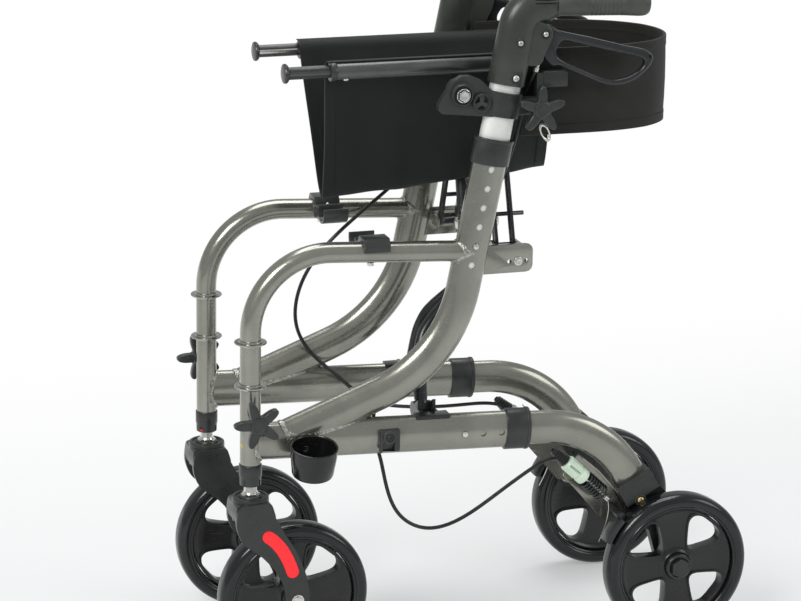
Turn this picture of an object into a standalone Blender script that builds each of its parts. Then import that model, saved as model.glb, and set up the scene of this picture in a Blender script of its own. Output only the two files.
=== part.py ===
"""Folding rollator, folded for storage and standing on its four wheels.

Metres. +X runs rearward to the user, -Y is the rollator's left, +Z is up. The origin lies on
the floor under the middle of the rollator. The left side frame is the fixed one.
"""

import bpy
import bmesh
from math import acos, asin, atan2, cos, exp, hypot, pi, radians, sin, sqrt, tan
from mathutils import Matrix, Vector

# Clearances and walls
GAP = 0.0003               # left between two pieces that touch
WALL = 0.0018              # aluminium tubes
PIN_RADIUS = 0.004         # hinge pins of the folding brace

# Stance
FRAME_SPACING = 0.230      # between the centre planes of the side frames, folded
WHEELBASE = 0.527
WHEEL_RADIUS = 0.100
WHEEL_WIDTH = 0.034
REAR_WHEEL_OFFSET = 0.026  # rear wheel's centre plane, outboard of its frame
CASTER_TRAIL = 0.057

# Wheels
RIM_RADIUS = 0.079
RIM_WIDTH = 0.020
HUB_RADIUS = 0.018
HUB_WIDTH = 0.036
AXLE_RADIUS = 0.005
WHEEL_STEPS = 24

# Front hoop, whose upright end is the caster's head tube
HOOP_RADIUS = 0.0135
HOOP_HEIGHT = 0.565
HOOP_DROP = radians(3.1)
HOOP_BEND = 0.100
HOOP_SIDES = 10
HEAD_BOTTOM = 0.2855
RING_HEIGHTS = (0.390, 0.448)
RING_RADIUS = 0.021
RING_THICKNESS = 0.004
COLLAR_RADIUS = 0.0148
COLLAR_LENGTH = 0.029
STEM_RADIUS = 0.0085

# Caster fork
FORK_TOP = 0.242
FORK_BOSS_RADIUS = 0.024
FORK_CROWN = 0.034
FORK_LEG = 0.007
FORK_CLEARANCE = 0.003

# Lower tube and the rear tube that slides in it
LOWER_DEPTH = 0.050
LOWER_WIDTH = 0.030
LOWER_HEIGHT = 0.315       # centre line, at the head tube
LOWER_SLOPE = radians(2.1)
LOWER_LENGTH = 0.3745
LOWER_SLEEVE = 0.032
SLEEVE_WALL = 0.003
REAR_CORNER = 0.481        # from the head tube along the lower tube's line
REAR_BEND = 0.145
REAR_ANGLE = radians(60)
REAR_TAIL = 0.1065
REAR_OVERLAP = 0.1025

# Upright tube
UPRIGHT_DEPTH = 0.046
UPRIGHT_WIDTH = 0.030
UPRIGHT_CORNER = (-0.055, 0.402)
UPRIGHT_TILT = radians(11)
UPRIGHT_TOP_DOWN = 0.17976  # its top, down its line from the handle's corner
UPRIGHT_BEND = 0.180
FOOT_SLOPE = radians(21.2)
FOOT_LENGTH = 0.236
UPPER_SLEEVE = 0.031

# Height and length adjustment
HOLE_PITCH = 0.0255
HOLE_RADIUS = 0.0045
FIRST_HOLE_DOWN = 0.0362     # below the upright's top
LENGTH_HOLES = 3
FIRST_LENGTH_HOLE = 0.2865  # along the lower tube from the head tube
BUTTON_RADIUS = 0.004

# Handle, measured down the upright's line from the corner where the grip's line meets it
HANDLE_TUBE_BELOW = 0.022   # below the button
HANDLE_TUBE_DOWN = 0.05176  # the inner tube's top
CLAMP_DOWN = 0.13076
CLAMP_LENGTH = 0.032
CLAMP_WALL = 0.005
SHELL_DOWN = 0.10476
GRIP_HEIGHT = 0.870
GRIP_DROP = radians(2)
SHELL_RADIUS = 0.025
SHELL_WIDTH = 0.038
SHELL_NECK_RADIUS = 0.021
SHELL_BEND = 0.035
SHELL_REACH = 0.037
GRIP_RADIUS = 0.0165
GRIP_LENGTH = 0.132
CORE_RADIUS = 0.0085
LEVER_PIVOT = (0.0285, -0.039)  # from the handle's corner
LEVER_THICKNESS = 0.011
LEVER_PIN_RADIUS = 0.003
KNOB_REACH = 0.045          # clamp knob behind the handle tube
KNOB_RADIUS = 0.032
KNOB_WAIST = 0.0145
KNOB_THICKNESS = 0.011
KNOB_POINTS = 5

# Folding brace and seat
PIVOT_HEIGHT = 0.325
PIVOT_INSET = 0.043         # lower pivots, and the seat rails, inboard of their frame
RAIL_FOLDED = 0.785
RAIL_OPEN = 0.563
RAIL_RADIUS = 0.0115
RAIL_FRONT = -0.206
RAIL_REAR = 0.100
PLUG_LENGTH = 0.062
PLUG_RADIUS = 0.0085
PLUG_RIBS = 4
ARM_X = -0.061
ARM_STAGGER = 0.030         # between the two arms, along X
# Distance along the arm, and how far rearward it has run there
ARM_PATH = ((0.0, 0.0), (0.063, 0.0015), (0.094, 0.009), (0.110, 0.0185), (0.131, 0.040),
            (0.152, 0.062), (0.178, 0.0755), (0.210, 0.0795), (0.241, 0.080), (0.360, 0.081))
ARM_TOP = 0.082            # rearward run at the seat rail
ARM_DEPTH = 0.018
ARM_WIDTH = 0.015
EYE_RADIUS = 0.011
EYE_LENGTH = 0.016
LUG_THICKNESS = 0.004

# Rail clip, a saddle over the hoop with a cradle for the open seat rail
CLIP_X = -0.157
CLIP_LENGTH = 0.034
CLIP_TOP = 0.0065           # above the hoop
CLIP_SIDE = 0.0032
CRADLE_WALL = 0.0045
CRADLE_HORN = 0.006         # above the cradle's centre

# Upper links
LINK_PIVOT_HEIGHT = 0.540
LINK_PIN = 0.003
LINK_THICKNESS = 0.004
LINK_WIDTH = 0.010
LINK_ROD_HEIGHT = 0.042     # up the link
PLATE_INSET = 0.010
PLATE_HEIGHT = 0.038
PLATE_BELOW = 0.008         # its middle, under the link's pin
PLATE_REAR = 0.062

# Seat sling and backrest strap
CLOTH = 0.0024
SLING_FRONT = -0.208
SLING_REAR = 0.098
SLING_BOTTOM_FRONT = 0.600
SLING_BOTTOM_REAR = 0.626
STRAP_THICKNESS = 0.003
STRAP_WIDTH = 0.114
STRAP_BELOW = 0.04964       # its lower edge, under the clamp's middle
STRAP_BEHIND = 0.03398      # its start, behind the clamp's middle
STRAP_REAR = 0.274

# Cane cup
CUP_RADIUS = 0.0305
CUP_HEIGHT = 0.046
CUP_WALL = 0.0025
CUP_X = -0.249
CUP_RIM = 0.3187

# Cables
CABLE_RADIUS = 0.0025
BARREL_CENTRE = (0.1265, 0.2365)
BARREL_HEADING = (0.729, -0.685)
BARREL_RADIUS = 0.0095
BARREL_LENGTH = 0.036
SPRING_RADIUS = 0.0086
SPRING_WIRE = 0.0013
SPRING_CURLS = 6
SPRING_LENGTH = 0.036
SHOE_PIVOT = (0.185, 0.173)

# Values that follow from the ones above
HANDLE_CORNER = (GRIP_HEIGHT - UPRIGHT_CORNER[1]) / cos(UPRIGHT_TILT)  # along the upright's line
UPRIGHT_LENGTH = HANDLE_CORNER - UPRIGHT_TOP_DOWN
FIRST_HEIGHT_HOLE = UPRIGHT_LENGTH - FIRST_HOLE_DOWN
HANDLE_TUBE_TOP = HANDLE_CORNER - HANDLE_TUBE_DOWN
CLAMP_CENTRE = HANDLE_CORNER - CLAMP_DOWN
SHELL_BOTTOM = HANDLE_CORNER - SHELL_DOWN
# The holes fill the straight part above the upright's bend, and the handle stands one above the last
BEND_TOP = UPRIGHT_BEND * tan((radians(90) - UPRIGHT_TILT - FOOT_SLOPE) / 2)
HEIGHT_HOLES = int((FIRST_HEIGHT_HOLE - HANDLE_TUBE_BELOW - BEND_TOP) / HOLE_PITCH) + 1
HEIGHT_HOLE_USED = max(HEIGHT_HOLES - 1, 1)
CLAMP_X = UPRIGHT_CORNER[0] + CLAMP_CENTRE * sin(UPRIGHT_TILT)
CLAMP_Z = UPRIGHT_CORNER[1] + CLAMP_CENTRE * cos(UPRIGHT_TILT)
STRAP_START = CLAMP_X + STRAP_BEHIND
STRAP_BOTTOM = CLAMP_Z - STRAP_BELOW
STRAP_TOP = STRAP_BOTTOM + STRAP_WIDTH
PLATE_CENTRE = LINK_PIVOT_HEIGHT - PLATE_BELOW
HEAD_X = -WHEELBASE / 2 - CASTER_TRAIL
FRONT_AXLE_X = -WHEELBASE / 2
REAR_AXLE_X = WHEELBASE / 2
PIVOT_SPREAD = FRAME_SPACING / 2 - PIVOT_INSET
ARM_LENGTH = hypot(RAIL_FOLDED - PIVOT_HEIGHT, 2 * PIVOT_SPREAD)
ARM_TILT = asin(2 * PIVOT_SPREAD / ARM_LENGTH)
ARM_TILT_OPEN = acos((RAIL_OPEN - PIVOT_HEIGHT) / ARM_LENGTH)

SIDE_VIEW = Matrix.Rotation(radians(90), 4, "X")                       # outline in X and Z
END_VIEW = Matrix(((0, 0, 1, 0), (1, 0, 0, 0), (0, 1, 0, 0), (0, 0, 0, 1)))  # outline in Y and Z


def start_scene():
    """Empty the scene and make the collections for the parts and for the cutters."""
    for obj in list(bpy.data.objects):
        bpy.data.objects.remove(obj)
    groups = []
    for name in ("folding_rollator", "cutters"):
        group = bpy.data.collections.new(name)
        bpy.context.scene.collection.children.link(group)
        groups.append(group)
    return groups


PARTS, CUTTERS = start_scene()


def make_material(name, color, roughness, metallic=0.0):
    material = bpy.data.materials.new(name)
    material.use_nodes = True
    shader = material.node_tree.nodes["Principled BSDF"]
    shader.inputs["Base Color"].default_value = (*color, 1.0)
    shader.inputs["Roughness"].default_value = roughness
    shader.inputs["Metallic"].default_value = metallic
    return material


FRAME_PAINT = make_material("frame_paint", (0.16, 0.15, 0.13), 0.32, 0.8)
BARE_ALUMINIUM = make_material("bare_aluminium", (0.70, 0.70, 0.68), 0.30, 1.0)
BLACK_METAL = make_material("black_metal", (0.02, 0.02, 0.02), 0.35, 0.4)
BLACK_PLASTIC = make_material("black_plastic", (0.03, 0.03, 0.03), 0.45)
HANDLE_PLASTIC = make_material("handle_plastic", (0.06, 0.063, 0.055), 0.45)
GRIP_RUBBER = make_material("grip_rubber", (0.08, 0.08, 0.075), 0.7)
TYRE_RUBBER = make_material("tyre_rubber", (0.02, 0.02, 0.02), 0.35)
RIM_PLASTIC = make_material("rim_plastic", (0.04, 0.04, 0.038), 0.5)
SEAT_CLOTH = make_material("seat_cloth", (0.012, 0.014, 0.016), 0.85)
STRAP_CLOTH = make_material("strap_cloth", (0.025, 0.021, 0.019), 0.8)
STEEL = make_material("steel", (0.75, 0.74, 0.70), 0.25, 1.0)
PALE_PLASTIC = make_material("pale_plastic", (0.66, 0.76, 0.62), 0.45)


def at(x=0.0, y=0.0, z=0.0):
    return Matrix.Translation((x, y, z))


def along(start, end):
    """Placement whose local +Z runs from start to end, with its origin at start."""
    direction = Vector(end) - Vector(start)
    return Matrix.Translation(start) @ direction.to_track_quat("Z", "Y").to_matrix().to_4x4()


def add_object(name, data, matrix=None):
    obj = bpy.data.objects.new(name, data)
    PARTS.objects.link(obj)
    obj.matrix_world = matrix or Matrix()
    return obj


def bake(obj):
    """Replace obj by a plain mesh of what it shows, with the caps of curves welded."""
    bpy.context.view_layer.update()
    shown = obj.evaluated_get(bpy.context.evaluated_depsgraph_get())
    mesh = bpy.data.meshes.new_from_object(shown)
    work = bmesh.new()
    work.from_mesh(mesh)
    bmesh.ops.remove_doubles(work, verts=work.verts, dist=0.00001)
    bmesh.ops.recalc_face_normals(work, faces=work.faces)
    work.to_mesh(mesh)
    work.free()
    name, matrix = obj.name, obj.matrix_world.copy()
    bpy.data.objects.remove(obj)
    return add_object(name, mesh, matrix)


def combine(obj, operation, others):
    """Join or cut obj with the other solids, which are used up."""
    for other in others:
        step = obj.modifiers.new(operation.lower(), "BOOLEAN")
        step.operation = operation
        step.object = other
        step.solver = "EXACT"
    solid = bake(obj)
    for other in others:
        bpy.data.objects.remove(other)
    return solid


def join(obj, *others):
    return combine(obj, "UNION", others)


def cut(obj, *others):
    return combine(obj, "DIFFERENCE", others)


def finish(obj, name, material, pivot=None, sharp=radians(35)):
    """Name a finished piece, colour and shade it, and hang it on its joint's empty."""
    obj.name = name
    obj.data.name = name
    obj.data.materials.clear()
    obj.data.materials.append(material)
    obj.data.shade_smooth()
    obj.data.set_sharp_from_angle(angle=sharp)
    if pivot:
        obj.parent = pivot
        obj.matrix_parent_inverse = pivot.matrix_world.inverted()
    return obj


def add_pivot(name, position, parent=None):
    """An empty on a joint's axis, which carries the pieces that the joint moves."""
    empty = bpy.data.objects.new(name, None)
    empty.empty_display_size = 0.03
    PARTS.objects.link(empty)
    empty.location = position
    bpy.context.view_layer.update()
    if parent:
        empty.parent = parent
        empty.matrix_parent_inverse = parent.matrix_world.inverted()
        bpy.context.view_layer.update()
    return empty


def make_curve(name, dimensions):
    curve = bpy.data.curves.new(name, "CURVE")
    curve.dimensions = dimensions
    return curve


def add_spline(curve, points, cyclic, radii=None):
    spline = curve.splines.new("POLY")
    spline.points.add(len(points) - 1)
    for index, point in enumerate(points):
        spline.points[index].co = (*point, 1.0)
        if radii:
            spline.points[index].radius = radii[index]
    spline.use_cyclic_u = cyclic


def tube(points, radius, sides=12, radii=None, name="tube"):
    """Round solid bar along the points."""
    curve = make_curve(name, "3D")
    add_spline(curve, points, False, radii)
    curve.bevel_depth = radius
    curve.bevel_resolution = (sides - 4) // 2
    curve.use_fill_caps = True
    return bake(add_object(name, curve))


def flattened(obj, plane_y, ratio):
    """Squeeze a bar towards the plane y = plane_y, which makes its section an oval."""
    for vertex in obj.data.vertices:
        vertex.co.y = plane_y + (vertex.co.y - plane_y) * ratio
    return obj


def oval_bar(points, plane_y, depth, width, sides=12, radii=None):
    return flattened(tube(points, depth / 2, sides, radii), plane_y, width / depth)


def cleared(radius, sides=12):
    """Radius of a many-sided hole that clears a round bar of the given radius."""
    return (radius + GAP) / cos(pi / sides)


def hollow(points, plane_y, depth, width, wall=WALL, sides=12):
    """Oval tube with both ends open."""
    curve = make_curve("tube", "3D")
    add_spline(curve, points, False)
    curve.bevel_depth = depth / 2
    curve.bevel_resolution = (sides - 4) // 2
    skin = flattened(bake(add_object("tube", curve)), plane_y, width / depth)
    shell = skin.modifiers.new("wall", "SOLIDIFY")
    shell.thickness = wall
    shell.offset = -1.0
    shell.use_even_offset = True
    return bake(skin)


def plate(outline, thickness, placement, holes=()):
    """Flat piece whose outline lies in the placement's own XY plane, centred on it."""
    curve = make_curve("plate", "2D")
    curve.fill_mode = "BOTH"
    curve.extrude = thickness / 2
    for points in (outline, *holes):
        add_spline(curve, [(x, y, 0.0) for x, y in points], True)
    return bake(add_object("plate", curve, placement))


def turned(profile, placement=None, steps=14):
    """Solid of revolution about the placement's Z axis; the profile is (radius, height)."""
    closed = profile[0][0] > 0 and profile[-1][0] > 0
    count = len(profile)
    edges = [(i, (i + 1) % count) for i in range(count if closed else count - 1)]
    mesh = bpy.data.meshes.new("turned")
    mesh.from_pydata([(r, 0.0, z) for r, z in profile], edges, [])
    obj = add_object("turned", mesh, placement)
    screw = obj.modifiers.new("turn", "SCREW")
    screw.steps = screw.render_steps = steps
    screw.use_merge_vertices = True
    screw.merge_threshold = 0.00001
    return bake(obj)


def rod(radius, start, end, sides=12):
    """Round bar from start to end."""
    length = (Vector(end) - Vector(start)).length
    mesh = bpy.data.meshes.new("rod")
    work = bmesh.new()
    bmesh.ops.create_cone(work, cap_ends=True, segments=sides, radius1=radius, radius2=radius,
                          depth=length, matrix=at(z=length / 2))
    work.to_mesh(mesh)
    work.free()
    return bake(add_object("rod", mesh, along(start, end)))


def box(low, high, placement=None, bevel=0.0):
    """Box between two corners given in the placement's own axes."""
    mesh = bpy.data.meshes.new("box")
    low, high = Vector(low), Vector(high)
    work = bmesh.new()
    bmesh.ops.create_cube(work, size=1.0)
    for vertex in work.verts:
        vertex.co = Vector((vertex.co[i] * (high - low)[i] + (low + high)[i] / 2 for i in range(3)))
    work.to_mesh(mesh)
    work.free()
    obj = add_object("box", mesh, placement)
    if bevel:
        edge = obj.modifiers.new("edges", "BEVEL")
        edge.width = bevel
        edge.segments = 2
    return bake(obj)


def rounded_path(corners, bends, turn=radians(14)):
    """Straight runs between the corners, with an arc of the given radius at each inner corner."""
    points = [Vector(corners[0])]
    for before, corner, after, bend in zip(corners, corners[1:], corners[2:], bends):
        back = (Vector(before) - Vector(corner)).normalized()
        ahead = (Vector(after) - Vector(corner)).normalized()
        half = back.angle(ahead) / 2
        centre = Vector(corner) + (back + ahead).normalized() * bend / sin(half)
        start = Vector(corner) + back * bend / tan(half)
        swept = pi - 2 * half
        axis = back.cross(ahead).normalized()
        steps = max(2, round(swept / turn))
        for step in range(steps + 1):
            spin = Matrix.Rotation(-swept * step / steps, 3, axis)
            points.append(centre + spin @ (start - centre))
    points.append(Vector(corners[-1]))
    return points


def smooth_path(points, spacing):
    """Evenly spaced points on a smooth curve through the route's own points."""
    ends = [2 * Vector(points[0]) - Vector(points[1])]
    tail = [2 * Vector(points[-1]) - Vector(points[-2])]
    route = ends + [Vector(p) for p in points] + tail
    dense = []
    for p0, p1, p2, p3 in zip(route, route[1:], route[2:], route[3:]):
        for step in range(24):
            t = step / 24
            dense.append(0.5 * (2 * p1 + (p2 - p0) * t + (2 * p0 - 5 * p1 + 4 * p2 - p3) * t ** 2
                                + (3 * p1 - p0 - 3 * p2 + p3) * t ** 3))
    dense.append(Vector(points[-1]))
    lengths = [0.0]
    for a, b in zip(dense, dense[1:]):
        lengths.append(lengths[-1] + (b - a).length)
    count = max(2, round(lengths[-1] / spacing))
    result, index = [], 0
    for step in range(count + 1):
        wanted = lengths[-1] * step / count
        while index < len(dense) - 2 and lengths[index + 1] < wanted:
            index += 1
        span = lengths[index + 1] - lengths[index]
        result.append(dense[index].lerp(dense[index + 1], (wanted - lengths[index]) / span))
    return result


def circle(centre, radius, count=16, start=0.0):
    return [(centre[0] + radius * cos(start + 2 * pi * i / count),
             centre[1] + radius * sin(start + 2 * pi * i / count)) for i in range(count)]


def arc(centre, radius, first, last, count):
    """Points on an arc between two angles in degrees."""
    return [(centre[0] + radius * cos(radians(first + (last - first) * i / (count - 1))),
             centre[1] + radius * sin(radians(first + (last - first) * i / (count - 1))))
            for i in range(count)]


def upright_at(distance):
    """X and Z on the upright's line, measured up from its corner."""
    return (UPRIGHT_CORNER[0] + distance * sin(UPRIGHT_TILT),
            UPRIGHT_CORNER[1] + distance * cos(UPRIGHT_TILT))


def lower_at(distance):
    """X and Z on the lower tube's line, measured rearward from the head tube."""
    return (HEAD_X + distance * cos(LOWER_SLOPE), LOWER_HEIGHT - distance * sin(LOWER_SLOPE))


def height_hole(number):
    return FIRST_HEIGHT_HOLE - (number - 1) * HOLE_PITCH


def length_hole(number):
    return FIRST_LENGTH_HOLE + (number - 1) * HOLE_PITCH


def rear_end():
    """X and Z where the rear tube ends, and the direction it points in there."""
    corner = lower_at(REAR_CORNER)
    heading = (cos(REAR_ANGLE), -sin(REAR_ANGLE))
    return (corner[0] + REAR_TAIL * heading[0], corner[1] + REAR_TAIL * heading[1]), heading


def handle_corner():
    """X and Z where the grip's line meets the upright's line."""
    return upright_at(HANDLE_CORNER)


def in_side_view(points, y):
    return [Vector((x, y, z)) for x, z in points]


class Side:
    """One side of the rollator: its centre plane and the direction that points outboard."""

    def __init__(self, name, sign):
        self.name = name
        self.sign = sign
        self.plane = sign * FRAME_SPACING / 2

    def out(self, offset):
        """Y of a plane that lies outboard of the frame's centre plane by the offset."""
        return self.plane + self.sign * offset

    def point(self, x, z, offset=0.0):
        return Vector((x, self.out(offset), z))

    def flat(self, offset=0.0):
        """Placement for an outline in X and Z, on a plane outboard by the offset."""
        return at(y=self.out(offset)) @ SIDE_VIEW

    def cross_rod(self, radius, x, z, first, last, sides=12):
        """Round bar along Y between two offsets."""
        return rod(radius, self.point(x, z, first), self.point(x, z, last), sides)

    def block(self, x_range, offsets, z_range, bevel=0.0):
        ys = sorted((self.out(offsets[0]), self.out(offsets[1])))
        return box((x_range[0], ys[0], z_range[0]), (x_range[1], ys[1], z_range[1]), None, bevel)


SIDES = (Side("left", -1), Side("right", 1))


def upright_path(side, foot=FOOT_LENGTH, top=UPRIGHT_LENGTH):
    corner = UPRIGHT_CORNER
    foot_end = (corner[0] - foot * cos(FOOT_SLOPE), corner[1] - foot * sin(FOOT_SLOPE))
    corners = in_side_view((foot_end, corner, upright_at(top)), side.plane)
    return rounded_path(corners, [UPRIGHT_BEND])


def lower_path(side):
    start = HOOP_RADIUS / 2
    return in_side_view((lower_at(start), lower_at(LOWER_LENGTH)), side.plane)


def hoop_path(side):
    """From the bottom of the head tube, up and rearward to the upright."""
    run = (upright_at(0.15)[0] - HEAD_X)
    corner = (HEAD_X, HOOP_HEIGHT)
    rear = (HEAD_X + run, HOOP_HEIGHT - run * tan(HOOP_DROP))
    corners = in_side_view(((HEAD_X, HEAD_BOTTOM), corner, rear), side.plane)
    return rounded_path(corners, [HOOP_BEND])


def rear_path(side, beyond=0.0):
    end, heading = rear_end()
    end = (end[0] + beyond * heading[0], end[1] + beyond * heading[1])
    front = LOWER_LENGTH - REAR_OVERLAP
    corners = in_side_view((lower_at(front), lower_at(REAR_CORNER), end), side.plane)
    return rounded_path(corners, [REAR_BEND])


def make_upright(side):
    """Bent oval tube with its height holes and the plastic sleeve at its top."""
    body = hollow(upright_path(side), side.plane, UPRIGHT_DEPTH, UPRIGHT_WIDTH)
    sleeve_line = in_side_view((upright_at(UPRIGHT_LENGTH - UPPER_SLEEVE + SLEEVE_WALL),
                                upright_at(UPRIGHT_LENGTH + SLEEVE_WALL)), side.plane)
    sleeve = hollow(sleeve_line, side.plane, UPRIGHT_DEPTH + 2 * SLEEVE_WALL,
                    UPRIGHT_WIDTH + 2 * SLEEVE_WALL, SLEEVE_WALL + WALL)
    body = join(body, sleeve)
    lower = oval_bar(in_side_view((lower_at(0), lower_at(LOWER_LENGTH)), side.plane), side.plane,
                     LOWER_DEPTH + 2 * GAP, LOWER_WIDTH + 2 * GAP)
    room_line = in_side_view((upright_at(height_hole(HEIGHT_HOLES) - HANDLE_TUBE_BELOW - GAP),
                              upright_at(UPRIGHT_LENGTH + 2 * SLEEVE_WALL)), side.plane)
    room = oval_bar(room_line, side.plane, UPRIGHT_DEPTH - 2 * WALL, UPRIGHT_WIDTH - 2 * WALL)
    holes = []
    for number in range(1, HEIGHT_HOLES + 1):
        x, z = upright_at(height_hole(number))
        holes.append(side.cross_rod(HOLE_RADIUS, x, z, 0, UPRIGHT_WIDTH, 8))
    body = cut(body, lower, room, *holes)
    return finish(body, f"{side.name}_upright_tube", FRAME_PAINT)


def make_hoop(side):
    """Front hoop: head tube, its two hanger rings and collar, and the run to the upright."""
    path = hoop_path(side)
    body = hollow(path, side.plane, 2 * HOOP_RADIUS, 2 * HOOP_RADIUS, WALL, HOOP_SIDES)
    inner = HOOP_RADIUS - WALL / 2
    for height in RING_HEIGHTS:
        half = RING_THICKNESS / 2
        ring = turned([(inner, half), (RING_RADIUS, half), (RING_RADIUS, -half), (inner, -half)],
                      at(HEAD_X, side.plane, height), 12)
        body = join(body, ring)
    collar = turned([(STEM_RADIUS + GAP, HEAD_BOTTOM + 0.006), (inner, HEAD_BOTTOM + 0.006),
                     (inner, HEAD_BOTTOM), (COLLAR_RADIUS, HEAD_BOTTOM - 0.001),
                     (COLLAR_RADIUS, HEAD_BOTTOM - COLLAR_LENGTH),
                     (STEM_RADIUS + GAP, HEAD_BOTTOM - COLLAR_LENGTH)],
                    at(HEAD_X, side.plane), 12)
    body = join(body, collar)
    knob_x, knob_z = HEAD_X, front_knob_height()
    hole = side.cross_rod(cleared(PIN_RADIUS, 8), knob_x, knob_z, HOOP_RADIUS - 3 * WALL,
                          2 * HOOP_RADIUS, 8)
    upright = oval_bar(upright_path(side), side.plane, UPRIGHT_DEPTH + 2 * GAP,
                       UPRIGHT_WIDTH + 2 * GAP)
    body = cut(body, hole, upright)
    return finish(body, f"{side.name}_front_hoop", FRAME_PAINT)


def front_knob_height():
    return 0.349


def arm_x(side):
    """The left frame carries the front arm's foot and the right frame the rear arm's."""
    return ARM_X + side.sign * ARM_STAGGER / 2


def make_lower_tube(side):
    """Lower tube with its end sleeve, the brace's foot bracket and the cable clip."""
    body = hollow(lower_path(side), side.plane, LOWER_DEPTH, LOWER_WIDTH)
    sleeve_line = in_side_view((lower_at(LOWER_LENGTH - LOWER_SLEEVE + SLEEVE_WALL),
                                lower_at(LOWER_LENGTH + SLEEVE_WALL)), side.plane)
    sleeve = hollow(sleeve_line, side.plane, LOWER_DEPTH + 2 * SLEEVE_WALL,
                    LOWER_WIDTH + 2 * SLEEVE_WALL, SLEEVE_WALL + WALL)
    x = arm_x(side)
    top = lower_at(x - HEAD_X)[1] + LOWER_DEPTH / 2
    foot = side.block((x - 0.023, x + 0.023), (-0.010, 0.009), (top - 2 * WALL, top + 0.005))
    post = side.block((x - 0.0135, x + 0.0135), (-0.014, 0.002), (top + 0.002, top + 0.012))
    pieces = [sleeve, foot, post]
    inner_face = EYE_LENGTH / 2 + GAP
    for direction in (-1, 1):
        lug_x = x + direction * (inner_face + LUG_THICKNESS / 2)
        pivot = (-PIVOT_INSET, PIVOT_HEIGHT)
        outline = [(-0.011, top - 0.003), (-0.008, top + 0.009), (-0.022, top + 0.013)]
        outline += arc(pivot, EYE_RADIUS, 60, 290, 9)
        outline = [(side.out(offset), z) for offset, z in outline]
        pieces.append(plate(outline, LUG_THICKNESS, at(x=lug_x) @ END_VIEW))
    reach = inner_face + LUG_THICKNESS / 2
    pivot_y = side.out(-PIVOT_INSET)
    pieces.append(rod(PIN_RADIUS, (x - reach, pivot_y, PIVOT_HEIGHT),
                      (x + reach, pivot_y, PIVOT_HEIGHT), 12))
    clip_x, clip_z = lower_at(0.182)
    half_width = LOWER_WIDTH / 2
    pieces.append(side.block((clip_x - 0.015, clip_x + 0.015), (half_width - 0.004, half_width + 0.006),
                             (clip_z - 0.018, clip_z + 0.014)))
    body = join(body, *pieces)
    head = tube(hoop_path(side), HOOP_RADIUS + GAP, HOOP_SIDES)
    room = oval_bar(in_side_view((lower_at(0.06), lower_at(LOWER_LENGTH + 0.02)), side.plane),
                    side.plane, LOWER_DEPTH - 2 * WALL, LOWER_WIDTH - 2 * WALL)
    holes = []
    for number in range(1, LENGTH_HOLES + 1):
        hole_x, hole_z = lower_at(length_hole(number))
        holes.append(side.cross_rod(HOLE_RADIUS, hole_x, hole_z, 0, LOWER_WIDTH, 8))
    body = cut(body, head, room, *holes)
    return finish(body, f"{side.name}_lower_tube", FRAME_PAINT)


def make_rail_clip(side):
    """Saddle over the hoop whose open cradle takes the seat rail when the rollator is open."""
    hoop_z = HOOP_HEIGHT - (CLIP_X - HEAD_X) * tan(HOOP_DROP)
    placement = at(x=CLIP_X) @ END_VIEW
    half, top = HOOP_RADIUS + CLIP_SIDE, HOOP_RADIUS + CLIP_TOP
    outline = [(half, 0.003), (half, 0.012), (half - 0.005, top), (0.005 - half, top), (-half, 0.013),
               (-half, -0.008), (0.004 - half, -0.008), (0.004 - half, 0.003)]
    saddle = plate([(side.out(across), hoop_z + up) for across, up in outline], CLIP_LENGTH, placement)
    cradle = (side.out(-PIVOT_INSET), RAIL_OPEN)
    outer, seat = RAIL_RADIUS + CRADLE_WALL, RAIL_RADIUS + 2 * GAP
    cup = plate(circle(cradle, outer, 16), CLIP_LENGTH, placement)
    web = side.block((CLIP_X - CLIP_LENGTH / 2, CLIP_X + CLIP_LENGTH / 2), (-half + 0.002, -PIVOT_INSET),
                     (hoop_z - 0.006, RAIL_OPEN + 0.004))
    body = join(saddle, web, cup)
    low, high = CLIP_X - CLIP_LENGTH, CLIP_X + CLIP_LENGTH
    slot = box((low, cradle[0] - seat, RAIL_OPEN), (high, cradle[0] + seat, RAIL_OPEN + 0.03))
    mouth = box((low, cradle[0] - outer - 0.001, RAIL_OPEN + CRADLE_HORN),
                (high, cradle[0] + outer + 0.001, RAIL_OPEN + 0.03))
    rail_hole = rod(seat, (low, *cradle), (high, *cradle), 16)
    hoop = tube(hoop_path(side), HOOP_RADIUS + GAP, HOOP_SIDES)
    body = cut(body, join(slot, mouth, rail_hole), hoop)
    return finish(body, f"{side.name}_rail_clip", BLACK_PLASTIC)


def link_bars(side):
    """X of the two bars of the side's upper link, one on each side of the arm it holds."""
    arm = arm_x(SIDES[0] if side.sign > 0 else SIDES[1]) + arm_offset(ARM_LENGTH / 2 + link_reach())
    reach = ARM_DEPTH / 2 + LINK_THICKNESS / 2 + 2 * GAP
    return arm - reach, arm + reach


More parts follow.
